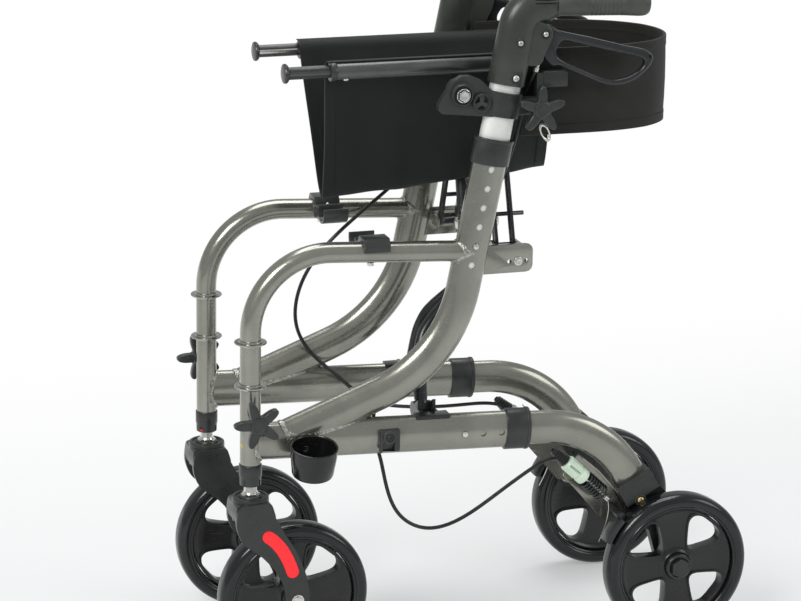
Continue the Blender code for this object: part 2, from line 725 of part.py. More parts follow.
def make_link_plate(side):
    """Plate behind the upright that carries the upper link's pin on two ears."""
    low, high = PLATE_CENTRE - PLATE_HEIGHT / 2, PLATE_CENTRE + PLATE_HEIGHT / 2
    corner = 0.009
    front, _ = upright_at((PLATE_CENTRE - UPRIGHT_CORNER[1]) / cos(UPRIGHT_TILT))
    outline = [(front, low)] + arc((PLATE_REAR - corner, low + corner), corner, -90, 0, 4)
    outline += arc((PLATE_REAR - corner, high - corner), corner, 0, 90, 4) + [(front, high)]
    holes = [circle((x, PLATE_CENTRE - 0.004), 0.003, 8) for x in (0.030, 0.042, 0.053)]
    upright = oval_bar(upright_path(side), side.plane, UPRIGHT_DEPTH + 2 * GAP,
                       UPRIGHT_WIDTH + 2 * GAP)
    body = cut(plate(outline, LINK_THICKNESS, side.flat(-PLATE_INSET), holes), upright)
    bars = link_bars(side)
    x_low = bars[0] - LINK_THICKNESS / 2 - GAP
    x_high = bars[1] + LINK_THICKNESS / 2 + GAP
    tube_rear, _ = upright_at((LINK_PIVOT_HEIGHT - UPRIGHT_CORNER[1]) / cos(UPRIGHT_TILT))
    tube_rear += UPRIGHT_DEPTH / 2 - 0.005
    base = side.block((max(x_low - LUG_THICKNESS - 0.0005, tube_rear), x_high + LUG_THICKNESS + 0.0005),
                      (-PLATE_INSET - 0.001, -0.030),
                      (LINK_PIVOT_HEIGHT - 0.006, LINK_PIVOT_HEIGHT + 0.007))
    pieces = [base]
    for x in (x_low - LUG_THICKNESS / 2, x_high + LUG_THICKNESS / 2):
        pieces.append(side.block((x - LUG_THICKNESS / 2, x + LUG_THICKNESS / 2),
                                 (-0.026, -PIVOT_INSET - 0.007),
                                 (LINK_PIVOT_HEIGHT - 0.007, LINK_PIVOT_HEIGHT + 0.007)))
    pin_y = side.out(-PIVOT_INSET)
    pieces.append(rod(LINK_PIN, (x_low - LUG_THICKNESS / 2, pin_y, LINK_PIVOT_HEIGHT),
                      (x_high + LUG_THICKNESS / 2, pin_y, LINK_PIVOT_HEIGHT), 12))
    return finish(join(body, *pieces), f"{side.name}_link_plate", FRAME_PAINT)


def star(points, outer, waist):
    """Outline of a knob with rounded points."""
    outline = []
    for i in range(points):
        centre = 2 * pi * i / points + pi / 2
        for turn, radius in ((-0.24, outer), (0.24, outer), (pi / points, waist)):
            outline.append((radius * cos(centre + turn), radius * sin(centre + turn)))
    return outline


def make_knob(side, name, x, z, offset, stem_end, pivot):
    """Star knob on the outboard side, with a threaded stem that runs inboard."""
    body = plate(star(KNOB_POINTS, KNOB_RADIUS, KNOB_WAIST), KNOB_THICKNESS,
                 at(x, side.out(offset), z) @ SIDE_VIEW)
    hub = side.cross_rod(0.0105, x, z, offset + KNOB_THICKNESS / 2 + 0.002,
                         offset - KNOB_THICKNESS / 2 - 0.004, 10)
    stem = side.cross_rod(PIN_RADIUS, x, z, offset, stem_end, 8)
    return finish(join(body, hub, stem), f"{side.name}_{name}", BLACK_PLASTIC, pivot)


def make_front_knob(side):
    x, z = HEAD_X, front_knob_height()
    pivot = add_pivot(f"{side.name}_front_knob_axis", side.point(x, z))
    make_knob(side, "front_knob", x, z, 0.038, HOOP_RADIUS - 3 * WALL + GAP, pivot)


def make_handle(side):
    """Inner tube, elbow shell, grip, strap clamp, clamp knob and brake lever."""
    slide = add_pivot(f"{side.name}_handle_slide_axis", side.point(*upright_at(UPRIGHT_LENGTH)))
    depth = UPRIGHT_DEPTH - 2 * (WALL + GAP)
    width = UPRIGHT_WIDTH - 2 * (WALL + GAP)
    button_at = height_hole(HEIGHT_HOLE_USED)
    line = in_side_view((upright_at(button_at - HANDLE_TUBE_BELOW), upright_at(HANDLE_TUBE_TOP)),
                        side.plane)
    inner = hollow(line, side.plane, depth, width)
    bx, bz = upright_at(button_at)
    inner = cut(inner, side.cross_rod(BUTTON_RADIUS + GAP, bx, bz, 0, UPRIGHT_WIDTH, 12))
    finish(inner, f"{side.name}_handle_tube", BARE_ALUMINIUM, slide)
    make_button(side, "handle_button", bx, bz, width, UPRIGHT_WIDTH, slide)

    corner = handle_corner()
    ahead = (cos(GRIP_DROP), -sin(GRIP_DROP))
    neck = (corner[0] + SHELL_REACH * ahead[0], corner[1] + SHELL_REACH * ahead[1])
    path = rounded_path(in_side_view((upright_at(SHELL_BOTTOM), corner, neck), side.plane),
                        [SHELL_BEND], radians(14))
    radii = [1.0] * len(path)
    radii[-1] = SHELL_NECK_RADIUS / SHELL_RADIUS
    radii[-2] = (radii[-1] + 1.0) / 2
    shell = oval_bar(path, side.plane, 2 * SHELL_RADIUS, SHELL_WIDTH, 16, radii)
    pivot_x, pivot_z = corner[0] + LEVER_PIVOT[0], corner[1] + LEVER_PIVOT[1]
    half_lug = LEVER_THICKNESS / 2 + 0.007
    lug = plate([(pivot_x - 0.028, pivot_z + 0.022), (pivot_x - 0.004, pivot_z + 0.0145),
                 (pivot_x + 0.007, pivot_z + 0.0085), (pivot_x + 0.0105, pivot_z),
                 (pivot_x + 0.008, pivot_z - 0.009), (pivot_x + 0.001, pivot_z - 0.022),
                 (pivot_x - 0.003, pivot_z - 0.038), (pivot_x - 0.028, pivot_z - 0.042)],
                2 * half_lug, side.flat())
    core_end = (corner[0] + (SHELL_REACH + GRIP_LENGTH - 0.010) * ahead[0],
                corner[1] + (SHELL_REACH + GRIP_LENGTH - 0.010) * ahead[1])
    core_start = (neck[0] - 0.010 * ahead[0], neck[1] - 0.010 * ahead[1])
    core = rod(CORE_RADIUS, side.point(*core_start), side.point(*core_end), 14)
    shell = join(shell, lug, core)
    bore = oval_bar(in_side_view((upright_at(SHELL_BOTTOM - 0.01), upright_at(HANDLE_TUBE_TOP + GAP)),
                                 side.plane), side.plane, depth + 2 * GAP, width + 2 * GAP)
    slot = plate([(pivot_x - 0.009, pivot_z + 0.0165), (pivot_x + 0.030, pivot_z + 0.0165),
                  (pivot_x + 0.030, pivot_z - 0.050), (pivot_x - 0.009, pivot_z - 0.050)],
                 LEVER_THICKNESS + 4 * GAP, side.flat())
    pin_hole = side.cross_rod(LEVER_PIN_RADIUS + GAP, pivot_x, pivot_z, -0.03, 0.03, 12)
    shell = cut(shell, bore, slot, pin_hole)
    finish(shell, f"{side.name}_handle_shell", HANDLE_PLASTIC, slide)

    grip_start = (neck[0] + GAP * ahead[0], neck[1] + GAP * ahead[1])
    grip_end = (neck[0] + GRIP_LENGTH * ahead[0], neck[1] + GRIP_LENGTH * ahead[1])
    bore_radius = cleared(CORE_RADIUS, 14)
    profile = [(0.0, GRIP_LENGTH), (0.010, GRIP_LENGTH), (GRIP_RADIUS - 0.001, GRIP_LENGTH - 0.003),
               (GRIP_RADIUS, GRIP_LENGTH - 0.008), (GRIP_RADIUS - 0.0008, GRIP_LENGTH / 2),
               (GRIP_RADIUS, 0.012), (GRIP_RADIUS + 0.0025, 0.008), (GRIP_RADIUS + 0.0025, 0.0),
               (bore_radius, 0.0), (bore_radius, GRIP_LENGTH - 0.0095), (0.0, GRIP_LENGTH - 0.0095)]
    grip = turned(profile, along(side.point(*grip_start), side.point(*grip_end)), 14)
    finish(grip, f"{side.name}_grip", GRIP_RUBBER, slide)

    make_clamp(side, slide, depth, width)
    make_lever(side, slide, pivot_x, pivot_z)
    return slide


def make_button(side, name, x, z, inner_width, outer_width, parent):
    """Sprung button that stands through a hole of the outer tube, with its head inside."""
    pivot = add_pivot(f"{side.name}_{name}_axis", side.point(x, z), parent)
    inside = inner_width / 2 - WALL - 0.0016
    shaft = side.cross_rod(BUTTON_RADIUS, x, z, inside - 0.002, outer_width / 2 + 0.0022, 12)
    head = side.cross_rod(BUTTON_RADIUS + 0.002, x, z, inside - 0.0025, inside, 12)
    finish(join(shaft, head), f"{side.name}_{name}", STEEL, pivot)


def make_clamp(side, slide, depth, width):
    """Clamp ring on the handle tube, with the strap's bracket in front and a lug behind."""
    mid_x, mid_z = upright_at(CLAMP_CENTRE)
    ring_line = in_side_view((upright_at(CLAMP_CENTRE - CLAMP_LENGTH / 2),
                              upright_at(CLAMP_CENTRE + CLAMP_LENGTH / 2)), side.plane)
    ring = oval_bar(ring_line, side.plane, depth + 2 * CLAMP_WALL, width + 2 * CLAMP_WALL)
    knob_x, knob_z = mid_x + KNOB_REACH, mid_z - 0.005
    lug = side.block((mid_x + 0.015, knob_x + 0.011), (-0.009, 0.009), (knob_z - 0.011, knob_z + 0.011),
                     0.003)
    outline = [(-0.014, 0.017), (-0.032, 0.034), (-0.046, 0.040), (-0.058, 0.040), (-0.069, 0.034),
               (-0.088, 0.006), (-0.0885, -0.002), (-0.083, -0.0075), (-0.014, -0.015)]
    bracket = plate([(mid_x + x, mid_z + z) for x, z in outline], 0.010, side.flat(0.006))
    barrel = side.cross_rod(0.0142, mid_x - 0.0576, mid_z + 0.0195, -0.0137, 0.0143, 10)
    web = side.block((knob_x + 0.0035, knob_x + 0.0155), (-0.003, -0.018),
                     (knob_z + 0.004, knob_z + 0.041))
    anchor = side.block((knob_x + 0.012, knob_x + 0.046), (-0.002, -SHELL_WIDTH / 2),
                        (knob_z + 0.0215, knob_z + 0.0425), 0.002)
    bolt = side.cross_rod(0.0088, mid_x - 0.0576, mid_z + 0.0164, 0.003, 0.0195, 6)
    wheel = side.cross_rod(0.0115, mid_x - 0.0319, mid_z + 0.0055, 0.002, 0.0150, 10)
    ring = join(ring, lug, web, anchor, bracket, barrel, bolt, wheel)
    tube_line = in_side_view((upright_at(SHELL_BOTTOM - 0.08), upright_at(SHELL_BOTTOM + 0.02)),
                             side.plane)
    bore = oval_bar(tube_line, side.plane, depth + 2 * GAP, width + 2 * GAP)
    hole = side.cross_rod(cleared(PIN_RADIUS, 8), knob_x, knob_z, -0.03, 0.03, 8)
    finish(cut(ring, bore, hole), f"{side.name}_clamp_collar", BLACK_PLASTIC, slide)
    pivot = add_pivot(f"{side.name}_handle_knob_axis", side.point(knob_x, knob_z), slide)
    make_knob(side, "handle_knob", knob_x, knob_z, 0.026, -0.0105, pivot)


def make_lever(side, slide, pivot_x, pivot_z):
    """Loop-shaped brake lever under the grip, with its pin."""
    pivot = add_pivot(f"{side.name}_brake_lever_axis", side.point(pivot_x, pivot_z), slide)
    outer = [(-0.0055, 0.004), (0.0035, 0.012), (0.0235, 0.005), (0.066, -0.0085), (0.116, -0.023),
             (0.143, -0.0315), (0.1515, -0.037), (0.149, -0.045), (0.136, -0.058), (0.116, -0.070),
             (0.1005, -0.0745), (0.083, -0.071), (0.0555, -0.056), (0.0255, -0.041),
             (0.0115, -0.042), (0.0035, -0.034), (-0.0055, -0.014)]
    opening = [(0.031, -0.005), (0.066, -0.016), (0.116, -0.030), (0.137, -0.038), (0.126, -0.054),
               (0.103, -0.0655), (0.0855, -0.063), (0.0575, -0.049), (0.0335, -0.036),
               (0.0255, -0.024)]
    body = plate([(pivot_x + x, pivot_z + z) for x, z in outer], LEVER_THICKNESS, side.flat(),
                 [[(pivot_x + x, pivot_z + z) for x, z in opening]])
    pin = side.cross_rod(LEVER_PIN_RADIUS, pivot_x, pivot_z, -0.0125, 0.0125, 12)
    finish(join(body, pin), f"{side.name}_brake_lever", BLACK_METAL, pivot)


def wheel_windows():
    """Four rounded openings between the spokes, as outlines round the wheel's centre."""
    shape = [(0.0285, -9), (0.046, -21), (0.063, -25), (0.0715, -21), (0.0752, -12), (0.0752, 12),
             (0.0715, 21), (0.063, 25), (0.046, 21), (0.0285, 9)]
    return [[(r * cos(radians(a + quarter)), r * sin(radians(a + quarter))) for r, a in shape]
            for quarter in (50, 140, 230, 320)]


def make_wheel(side, name, x, offset, parent):
    """Rim with four broad spokes, and the tyre round it."""
    z = WHEEL_RADIUS
    pivot = add_pivot(f"{side.name}_{name}_wheel_axis", side.point(x, z, offset), parent)
    placement = at(x, side.out(offset), z) @ SIDE_VIEW
    rim = plate(circle((0, 0), RIM_RADIUS, WHEEL_STEPS, pi / WHEEL_STEPS), RIM_WIDTH, placement,
                wheel_windows())
    hub = side.cross_rod(HUB_RADIUS, x, z, offset - HUB_WIDTH / 2, offset + HUB_WIDTH / 2)
    rim = join(rim, hub)
    rim = cut(rim, side.cross_rod(AXLE_RADIUS + GAP, x, z, offset - 0.04, offset + 0.04, 10))
    finish(rim, f"{side.name}_{name}_rim", RIM_PLASTIC, pivot)
    scale = 1 / cos(pi / WHEEL_STEPS)
    half = WHEEL_WIDTH / 2
    section = [(RIM_RADIUS + 2 * GAP, half - 0.006), (0.086, half), (0.094, half - 0.001),
               (WHEEL_RADIUS, 0.009)]
    profile = [(r * scale, h) for r, h in section] + [(r * scale, -h) for r, h in reversed(section)]
    turn = Matrix.Rotation(pi / WHEEL_STEPS, 4, "Z")
    tyre = turned(profile, placement @ turn, WHEEL_STEPS)
    finish(tyre, f"{side.name}_{name}_tyre", TYRE_RUBBER, pivot)


def make_caster(side):
    """Fork that trails the front wheel, with its stem in the head tube."""
    swivel = add_pivot(f"{side.name}_caster_swivel_axis", side.point(HEAD_X, FORK_TOP))
    inner = WHEEL_WIDTH / 2 + FORK_CLEARANCE
    crown_low = FORK_TOP - FORK_CROWN
    boss = rod(FORK_BOSS_RADIUS, side.point(HEAD_X, crown_low), side.point(HEAD_X, FORK_TOP), 14)
    axle = (FRONT_AXLE_X, WHEEL_RADIUS)
    outline = [(HEAD_X - 0.023, crown_low + 0.028), (HEAD_X - 0.025, crown_low + 0.004)]
    outline += [(HEAD_X - 0.006, 0.184), (HEAD_X + 0.022, 0.156), (HEAD_X + 0.038, 0.125)]
    outline += arc(axle, 0.0165, 180, 360, 6)
    outline += [(HEAD_X + 0.072, 0.135), (HEAD_X + 0.057, 0.168), (HEAD_X + 0.037, 0.200),
                (HEAD_X + 0.025, crown_low + 0.018), (HEAD_X + 0.019, crown_low + 0.030)]
    pieces = []
    for direction in (-1, 1):
        pieces.append(plate(outline, FORK_LEG, side.flat(direction * (inner + FORK_LEG / 2))))
    crown = side.block((HEAD_X - 0.0235, HEAD_X + 0.0215), (-inner - FORK_LEG / 2, inner + FORK_LEG / 2),
                       (crown_low + 0.001, crown_low + 0.026), 0.003)
    stem = rod(STEM_RADIUS, side.point(HEAD_X, FORK_TOP - 0.01), side.point(HEAD_X, FORK_TOP + 0.085), 12)
    bolt_reach = inner + FORK_LEG + 0.003
    bolt = side.cross_rod(AXLE_RADIUS, *axle, -bolt_reach, bolt_reach)
    fork = join(boss, *pieces, crown, stem, bolt)
    finish(fork, f"{side.name}_caster_fork", BLACK_PLASTIC, swivel)
    make_wheel(side, "front", FRONT_AXLE_X, 0.0, swivel)


def make_rear_leg(side):
    """Sliding rear tube with its end housing, brake and wheel."""
    slide = add_pivot(f"{side.name}_rear_slide_axis", side.point(*lower_at(LOWER_LENGTH)))
    depth = LOWER_DEPTH - 2 * (WALL + GAP)
    width = LOWER_WIDTH - 2 * (WALL + GAP)
    body = hollow(rear_path(side), side.plane, depth, width)
    button_x, button_z = lower_at(length_hole(1))
    body = cut(body, side.cross_rod(BUTTON_RADIUS + GAP, button_x, button_z, 0, LOWER_WIDTH, 12))
    finish(body, f"{side.name}_rear_tube", FRAME_PAINT, slide)
    make_button(side, "rear_button", button_x, button_z, width, LOWER_WIDTH, slide)
    make_housing(side, slide, depth, width)
    make_brake(side, slide)
    make_wheel(side, "rear", REAR_AXLE_X, REAR_WHEEL_OFFSET, slide)
    return slide


def make_housing(side, slide, depth, width):
    """Casting on the end of the rear tube, down to the axle, with the brake's channel."""
    (end_x, end_z), (dir_x, dir_z) = rear_end()
    out_x, out_z = -dir_z, dir_x

    def spot(across, ahead):
        return (end_x + across * out_x + ahead * dir_x, end_z + across * out_z + ahead * dir_z)

    half = depth / 2 + 0.003
    socket = plate([spot(-half, -0.020), spot(half, -0.020), spot(half, 0.012), spot(-half, 0.012)],
                   width + 0.010, side.flat())
    axle = (REAR_AXLE_X, WHEEL_RADIUS)
    outline = [spot(-half, -0.010), spot(-half, 0.010), (end_x - 0.012, end_z - 0.041),
               (axle[0] - 0.030, axle[1] + 0.042)]
    outline += arc(axle, 0.018, 180, 360, 7)
    outline += [(axle[0] + 0.014, axle[1] + 0.055), (axle[0] + 0.002, axle[1] + 0.081),
                (axle[0] - 0.007, axle[1] + 0.095), spot(half, 0.004), spot(half, -0.010)]
    leg = plate(outline, 0.013, side.flat(0.0005))
    channel_line = [(0.124, 0.240), (0.136, 0.252), (0.158, 0.234), (0.196, 0.190), (0.214, 0.168),
                    (0.204, 0.142), (0.196, 0.150)]
    channel = plate(channel_line, 0.003, side.flat(-0.0125))
    inner_end = -0.0065
    hub_face = REAR_WHEEL_OFFSET + HUB_WIDTH / 2
    bearing = side.cross_rod(0.012, *axle, inner_end, REAR_WHEEL_OFFSET - HUB_WIDTH / 2 - GAP)
    shaft = side.cross_rod(AXLE_RADIUS, *axle, inner_end, hub_face + 0.006, 14)
    cap = side.cross_rod(0.0135, *axle, hub_face + GAP, hub_face + 0.008, 6)
    shoe_hole = side.cross_rod(cleared(PIN_RADIUS), *SHOE_PIVOT, -0.03, -0.01)
    body = join(socket, leg, channel, bearing, shaft, cap)
    tube_room = oval_bar(rear_path(side, GAP), side.plane, depth + 2 * GAP, width + 2 * GAP)
    finish(cut(body, tube_room, shoe_hole), f"{side.name}_rear_housing", BLACK_PLASTIC, slide)


def barrel_point(distance):
    """X and Z on the brake adjuster's axis, measured from the barrel's middle."""
    return (BARREL_CENTRE[0] + distance * BARREL_HEADING[0],
            BARREL_CENTRE[1] + distance * BARREL_HEADING[1])


def least_gap(points, per_curl, wire):
    """Least clear distance between a coil's points that lie over half a curl apart."""
    apart = per_curl // 2 + 1
    return min((Vector(a) - Vector(b)).length for i, a in enumerate(points)
               for b in points[i + apart:]) - 2 * wire


def make_brake(side, slide):
    """Adjuster barrel, return spring and the shoe that presses on the tyre."""
    half = BARREL_LENGTH / 2
    start, end = side.point(*barrel_point(-half)), side.point(*barrel_point(half))
    profile = [(0.0, BARREL_LENGTH), (BARREL_RADIUS - 0.0015, BARREL_LENGTH),
               (BARREL_RADIUS, BARREL_LENGTH - 0.0015), (BARREL_RADIUS, 0.0025),
               (BARREL_RADIUS - 0.003, 0.0), (0.0, 0.0)]
    barrel = turned(profile, along(start, end), 16)
    finish(barrel, f"{side.name}_brake_adjuster", PALE_PLASTIC, slide)

    points = []
    per_curl = 8
    for i in range(SPRING_CURLS * per_curl + 1):
        angle = 2 * pi * i / per_curl
        points.append((SPRING_RADIUS * cos(angle), SPRING_RADIUS * sin(angle),
                       SPRING_LENGTH * i / (SPRING_CURLS * per_curl)))
    gap = least_gap(points, per_curl, SPRING_WIRE)
    print(f"{side.name} brake spring: least gap to itself {1000 * gap:.2f} mm")
    spring = tube(points, SPRING_WIRE, 6)
    spring_start = side.point(*barrel_point(half + 2 * SPRING_WIRE))
    spring_end = side.point(*barrel_point(half + SPRING_LENGTH))
    spring.matrix_world = along(spring_start, spring_end)
    finish(spring, f"{side.name}_brake_spring", BLACK_METAL, slide)

    pivot = add_pivot(f"{side.name}_brake_shoe_axis", side.point(*SHOE_PIVOT), slide)
    radius = WHEEL_RADIUS + 0.003
    centre = (REAR_AXLE_X, WHEEL_RADIUS)
    pad = arc(centre, radius, 138, 158, 5) + arc(centre, radius + 0.008, 158, 138, 4)
    shoe = plate(pad, 0.022, side.flat(REAR_WHEEL_OFFSET))
    arm = side.cross_rod(0.006, *SHOE_PIVOT, -0.0105, REAR_WHEEL_OFFSET)
    pin = side.cross_rod(PIN_RADIUS, *SHOE_PIVOT, -0.0165, 0.0)
    shoe = join(shoe, arm, pin)
    finish(shoe, f"{side.name}_brake_shoe", BLACK_METAL, pivot)


def make_cable(side, route):
    """Brake cable from the lever down to the adjuster, through its clip."""
    corner = handle_corner()
    pivot_x, pivot_z = corner[0] + LEVER_PIVOT[0], corner[1] + LEVER_PIVOT[1]
    points = [side.point(pivot_x + x, pivot_z + z, -inset) for x, z, inset in CABLE_HEAD]
    points += [side.point(x, z, -inset) for x, z, inset in route if z < points[-1].z - 0.02]
    start = barrel_point(-BARREL_LENGTH / 2 - 0.010)
    end = barrel_point(-BARREL_LENGTH / 2 - CABLE_RADIUS)
    points += [side.point(*start), side.point(*end)]
    cable = tube(smooth_path(points, 9 * CABLE_RADIUS), CABLE_RADIUS, 8)
    finish(cable, f"{side.name}_brake_cable", BLACK_PLASTIC)


# Cable points in X and Z with their inset: the first ones from the lever's pivot, the rest in place
CABLE_HEAD = [(-0.0045, -0.039, 0.000), (-0.0115, -0.058, 0.004), (-0.0135, -0.074, 0.0130),
              (-0.0165, -0.093, 0.0165)]
LEFT_CABLE = [(0.040, 0.700, 0.0165),
              (0.026, 0.655, 0.014), (0.008, 0.605, 0.017), (-0.012, 0.555, 0.0185),
              (-0.032, 0.500, 0.0185), (-0.052, 0.450, 0.0185), (-0.090, 0.410, 0.0185),
              (-0.132, 0.375, 0.0185), (-0.152, 0.335, 0.0185), (-0.150, 0.298, 0.0185),
              (-0.142, 0.277, 0.010), (-0.139, 0.245, 0.000), (-0.129, 0.208, -0.002),
              (-0.109, 0.184, -0.003), (-0.081, 0.172, -0.003), (-0.051, 0.175, -0.003),
              (-0.017, 0.190, -0.002), (0.027, 0.219, 0.000), (0.064, 0.243, 0.000)]
RIGHT_CABLE = [(0.034, 0.700, 0.0165),
               (0.004, 0.655, 0.020), (-0.040, 0.613, 0.024), (-0.084, 0.577, 0.026),
               (-0.132, 0.540, 0.026), (-0.170, 0.505, 0.026), (-0.196, 0.467, 0.026),
               (-0.207, 0.424, 0.026), (-0.200, 0.386, 0.026), (-0.172, 0.350, 0.024),
               (-0.140, 0.325, 0.0215), (-0.118, 0.300, 0.0195), (-0.090, 0.279, 0.016),
               (-0.040, 0.268, 0.008), (0.010, 0.262, 0.002), (0.055, 0.262, 0.000),
               (0.085, 0.262, 0.000)]


def arm_offset(height):
    """How far the arm has run rearward at a height measured along it from its foot."""
    for (low, first), (high, last) in zip(ARM_PATH, ARM_PATH[1:]):
        if height <= high:
            return first + (last - first) * (height - low) / (high - low)
    return ARM_PATH[-1][1]


def make_arm(name, foot_side, x, pivot, with_stud):
    """Brace arm from the foot pivot on one side up to the seat rail of the other side."""
    placement = at(x, foot_side.sign * PIVOT_SPREAD, PIVOT_HEIGHT)
    placement = placement @ Matrix.Rotation(foot_side.sign * ARM_TILT, 4, "X")
    half = ARM_LENGTH / 2
    route = [(offset, 0.0, height) for height, offset in ARM_PATH] + [(ARM_TOP, 0.0, ARM_LENGTH)]
    bar = tube(smooth_path(route, 0.030), ARM_DEPTH / 2, 10)
    bar = flattened(bar, 0.0, ARM_WIDTH / ARM_DEPTH)
    bar.matrix_world = placement

    def cross(radius, height, first, last, sides=12):
        return rod(radius, placement @ Vector((first, 0, height)),
                   placement @ Vector((last, 0, height)), sides)

    inner = EYE_LENGTH / 2
    eye = cross(EYE_RADIUS - 0.001, 0.0, -inner, inner)
    middle = arm_offset(half)
    hub = cross(0.016, half, middle - ARM_DEPTH / 2, middle + ARM_DEPTH / 2)
    arm = join(bar, eye, hub)
    tools = [cross(PIN_RADIUS + GAP, 0.0, -0.02, 0.02, 12)]
    for near, far in ((inner, inner + 0.02), (-inner - 0.02, -inner)):
        tools.append(box((near, -0.02, -0.03), (far, 0.02, 0.016), placement))
    rail_y = -foot_side.sign * PIVOT_SPREAD
    top = x + ARM_TOP
    tools.append(rod(RAIL_RADIUS + GAP, (top - 0.05, rail_y, RAIL_FOLDED),
                     (top + 0.05, rail_y, RAIL_FOLDED), 16))
    if not with_stud:
        tools.append(cross(PIN_RADIUS + GAP, half, middle - 0.02, middle + 0.02, 12))
    arm = cut(arm, *tools)
    if with_stud:
        reach = middle + ARM_STAGGER + ARM_DEPTH / 2
        stud = cross(PIN_RADIUS, half, middle, reach + 0.003, 12)
        head = cross(0.009, half, reach + GAP, reach + 0.006, 6)
        cap = cross(0.009, half, middle - ARM_DEPTH / 2 - 0.005, middle, 6)
        arm = join(arm, stud, head, cap)
    return finish(arm, name, BLACK_METAL, pivot)


def make_rail(side, pivot):
    """Seat rail with a ribbed end plug and its collar in front."""
    length = RAIL_REAR - RAIL_FRONT
    collar = RAIL_RADIUS + 0.001
    profile = [(0.0, length), (RAIL_RADIUS - 0.001, length), (RAIL_RADIUS, length - 0.001),
               (RAIL_RADIUS, 0.009), (collar, 0.008), (collar, 0.0)]
    step = (PLUG_LENGTH - 0.007) / PLUG_RIBS
    for rib in range(PLUG_RIBS):
        top = -rib * step
        profile += [(PLUG_RADIUS - 0.0012, top), (PLUG_RADIUS - 0.0012, top - 0.3 * step),
                    (PLUG_RADIUS, top - 0.5 * step)]
    profile += [(collar, -PLUG_LENGTH + 0.007), (collar, -PLUG_LENGTH + 0.001),
                (collar - 0.001, -PLUG_LENGTH), (0.0, -PLUG_LENGTH)]
    y = side.sign * PIVOT_SPREAD
    rail = turned(profile, along((RAIL_FRONT, y, RAIL_FOLDED), (RAIL_REAR, y, RAIL_FOLDED)), 14)
    return finish(rail, f"{side.name}_seat_rail", BLACK_METAL, pivot)


def link_reach():
    """Where the link meets the arm above its middle, so that it is as long folded as open."""
    rise = LINK_PIVOT_HEIGHT - PIVOT_HEIGHT
    total = cos(ARM_TILT) + cos(ARM_TILT_OPEN)
    return rise * ARM_LENGTH / 2 / (ARM_LENGTH * total - rise)


def link_lean(tilt):
    """The link's lean from the vertical and its length, at a tilt of the arms."""
    across = (ARM_LENGTH / 2 - link_reach()) * sin(tilt)
    up = (ARM_LENGTH / 2 + link_reach()) * cos(tilt) - (LINK_PIVOT_HEIGHT - PIVOT_HEIGHT)
    return atan2(across, up), hypot(across, up)


def make_link(side):
    """Upper link: two flat bars on one pin, tied by a rod, and the pin at its free end."""
    lean, length = link_lean(ARM_TILT)
    pin_y = side.out(-PIVOT_INSET)
    pivot = add_pivot(f"{side.name}_link_axis", (0.0, pin_y, LINK_PIVOT_HEIGHT))
    placement = at(0, pin_y, LINK_PIVOT_HEIGHT) @ Matrix.Rotation(side.sign * lean, 4, "X")
    half = LINK_WIDTH / 2
    outline = arc((0, 0), half + 0.001, 180, 360, 6) + arc((0, length), half + 0.001, 0, 180, 6)
    low, high = link_bars(side)
    bars = [plate(outline, LINK_THICKNESS, placement @ at(x=x) @ END_VIEW) for x in (low, high)]

    def cross(radius, height, first, last):
        return rod(radius, placement @ Vector((first, 0, height)),
                   placement @ Vector((last, 0, height)), 8)

    bars.append(cross(LINK_PIN, LINK_ROD_HEIGHT, low - 0.001, high + 0.018))
    bars.append(cross(LINK_PIN + 0.001, length, low - 0.005, low))
    bars.append(cross(LINK_PIN + 0.001, length, high, high + 0.005))
    bars.append(cross(half, 0.0, low, high))
    link = join(bars[0], *bars[1:])
    link = cut(link, cross(LINK_PIN + GAP, 0.0, -0.02, 0.07))
    return finish(link, f"{side.name}_upper_link", BLACK_METAL, pivot)


def make_sling(pivot):
    """Seat cloth that hangs in a fold between the two rails."""
    across, along_x = 14, 14
    mesh = bpy.data.meshes.new("sling")
    work = bmesh.new()
    bmesh.ops.create_grid(work, x_segments=along_x, y_segments=across, size=1.0)
    inner = PIVOT_SPREAD - RAIL_RADIUS - 0.001 - CLOTH
    blend = 0.14
    for vertex in work.verts:
        u, t = (vertex.co.x + 1) / 2, vertex.co.y
        bottom = SLING_BOTTOM_FRONT + (SLING_BOTTOM_REAR - SLING_BOTTOM_FRONT) * u
        rise = (sqrt(t * t + blend * blend) - blend) / (sqrt(1 + blend * blend) - blend)
        x = SLING_FRONT + (SLING_REAR - SLING_FRONT) * u + 0.016 * (1 - abs(t))
        z = bottom + (RAIL_FOLDED - bottom) * rise
        arm = ARM_X + arm_offset((z - PIVOT_HEIGHT) / cos(ARM_TILT))
        clear = 1 - exp(-((x - arm) / 0.055) ** 2)
        wave = 0.0035 * clear * (1 - t * t) * sin(2 * pi * (2.4 * u + 0.18 * t))
        vertex.co = (x, inner * t + wave, z)
    work.to_mesh(mesh)
    work.free()
    obj = add_object("sling", mesh)
    thick = obj.modifiers.new("cloth", "SOLIDIFY")
    thick.thickness = CLOTH
    thick.offset = 0.0
    return finish(bake(obj), "seat_sling", SEAT_CLOTH, pivot, radians(60))


def strap_route(side):
    """Middle line of one half of the strap in X and Y, from its clamp to the rear."""
    inboard = FRAME_SPACING / 2 - SHELL_WIDTH / 2 - 0.0025
    route = [(STRAP_START, inboard), (0.090, inboard + 0.0005), (0.165, inboard - 0.004),
             (0.222, inboard - 0.020), (0.256, inboard - 0.045), (0.270, inboard - 0.070),
             (STRAP_REAR, 0.0005)]
    return [(x, side.sign * y, 0.0) for x, y in route]


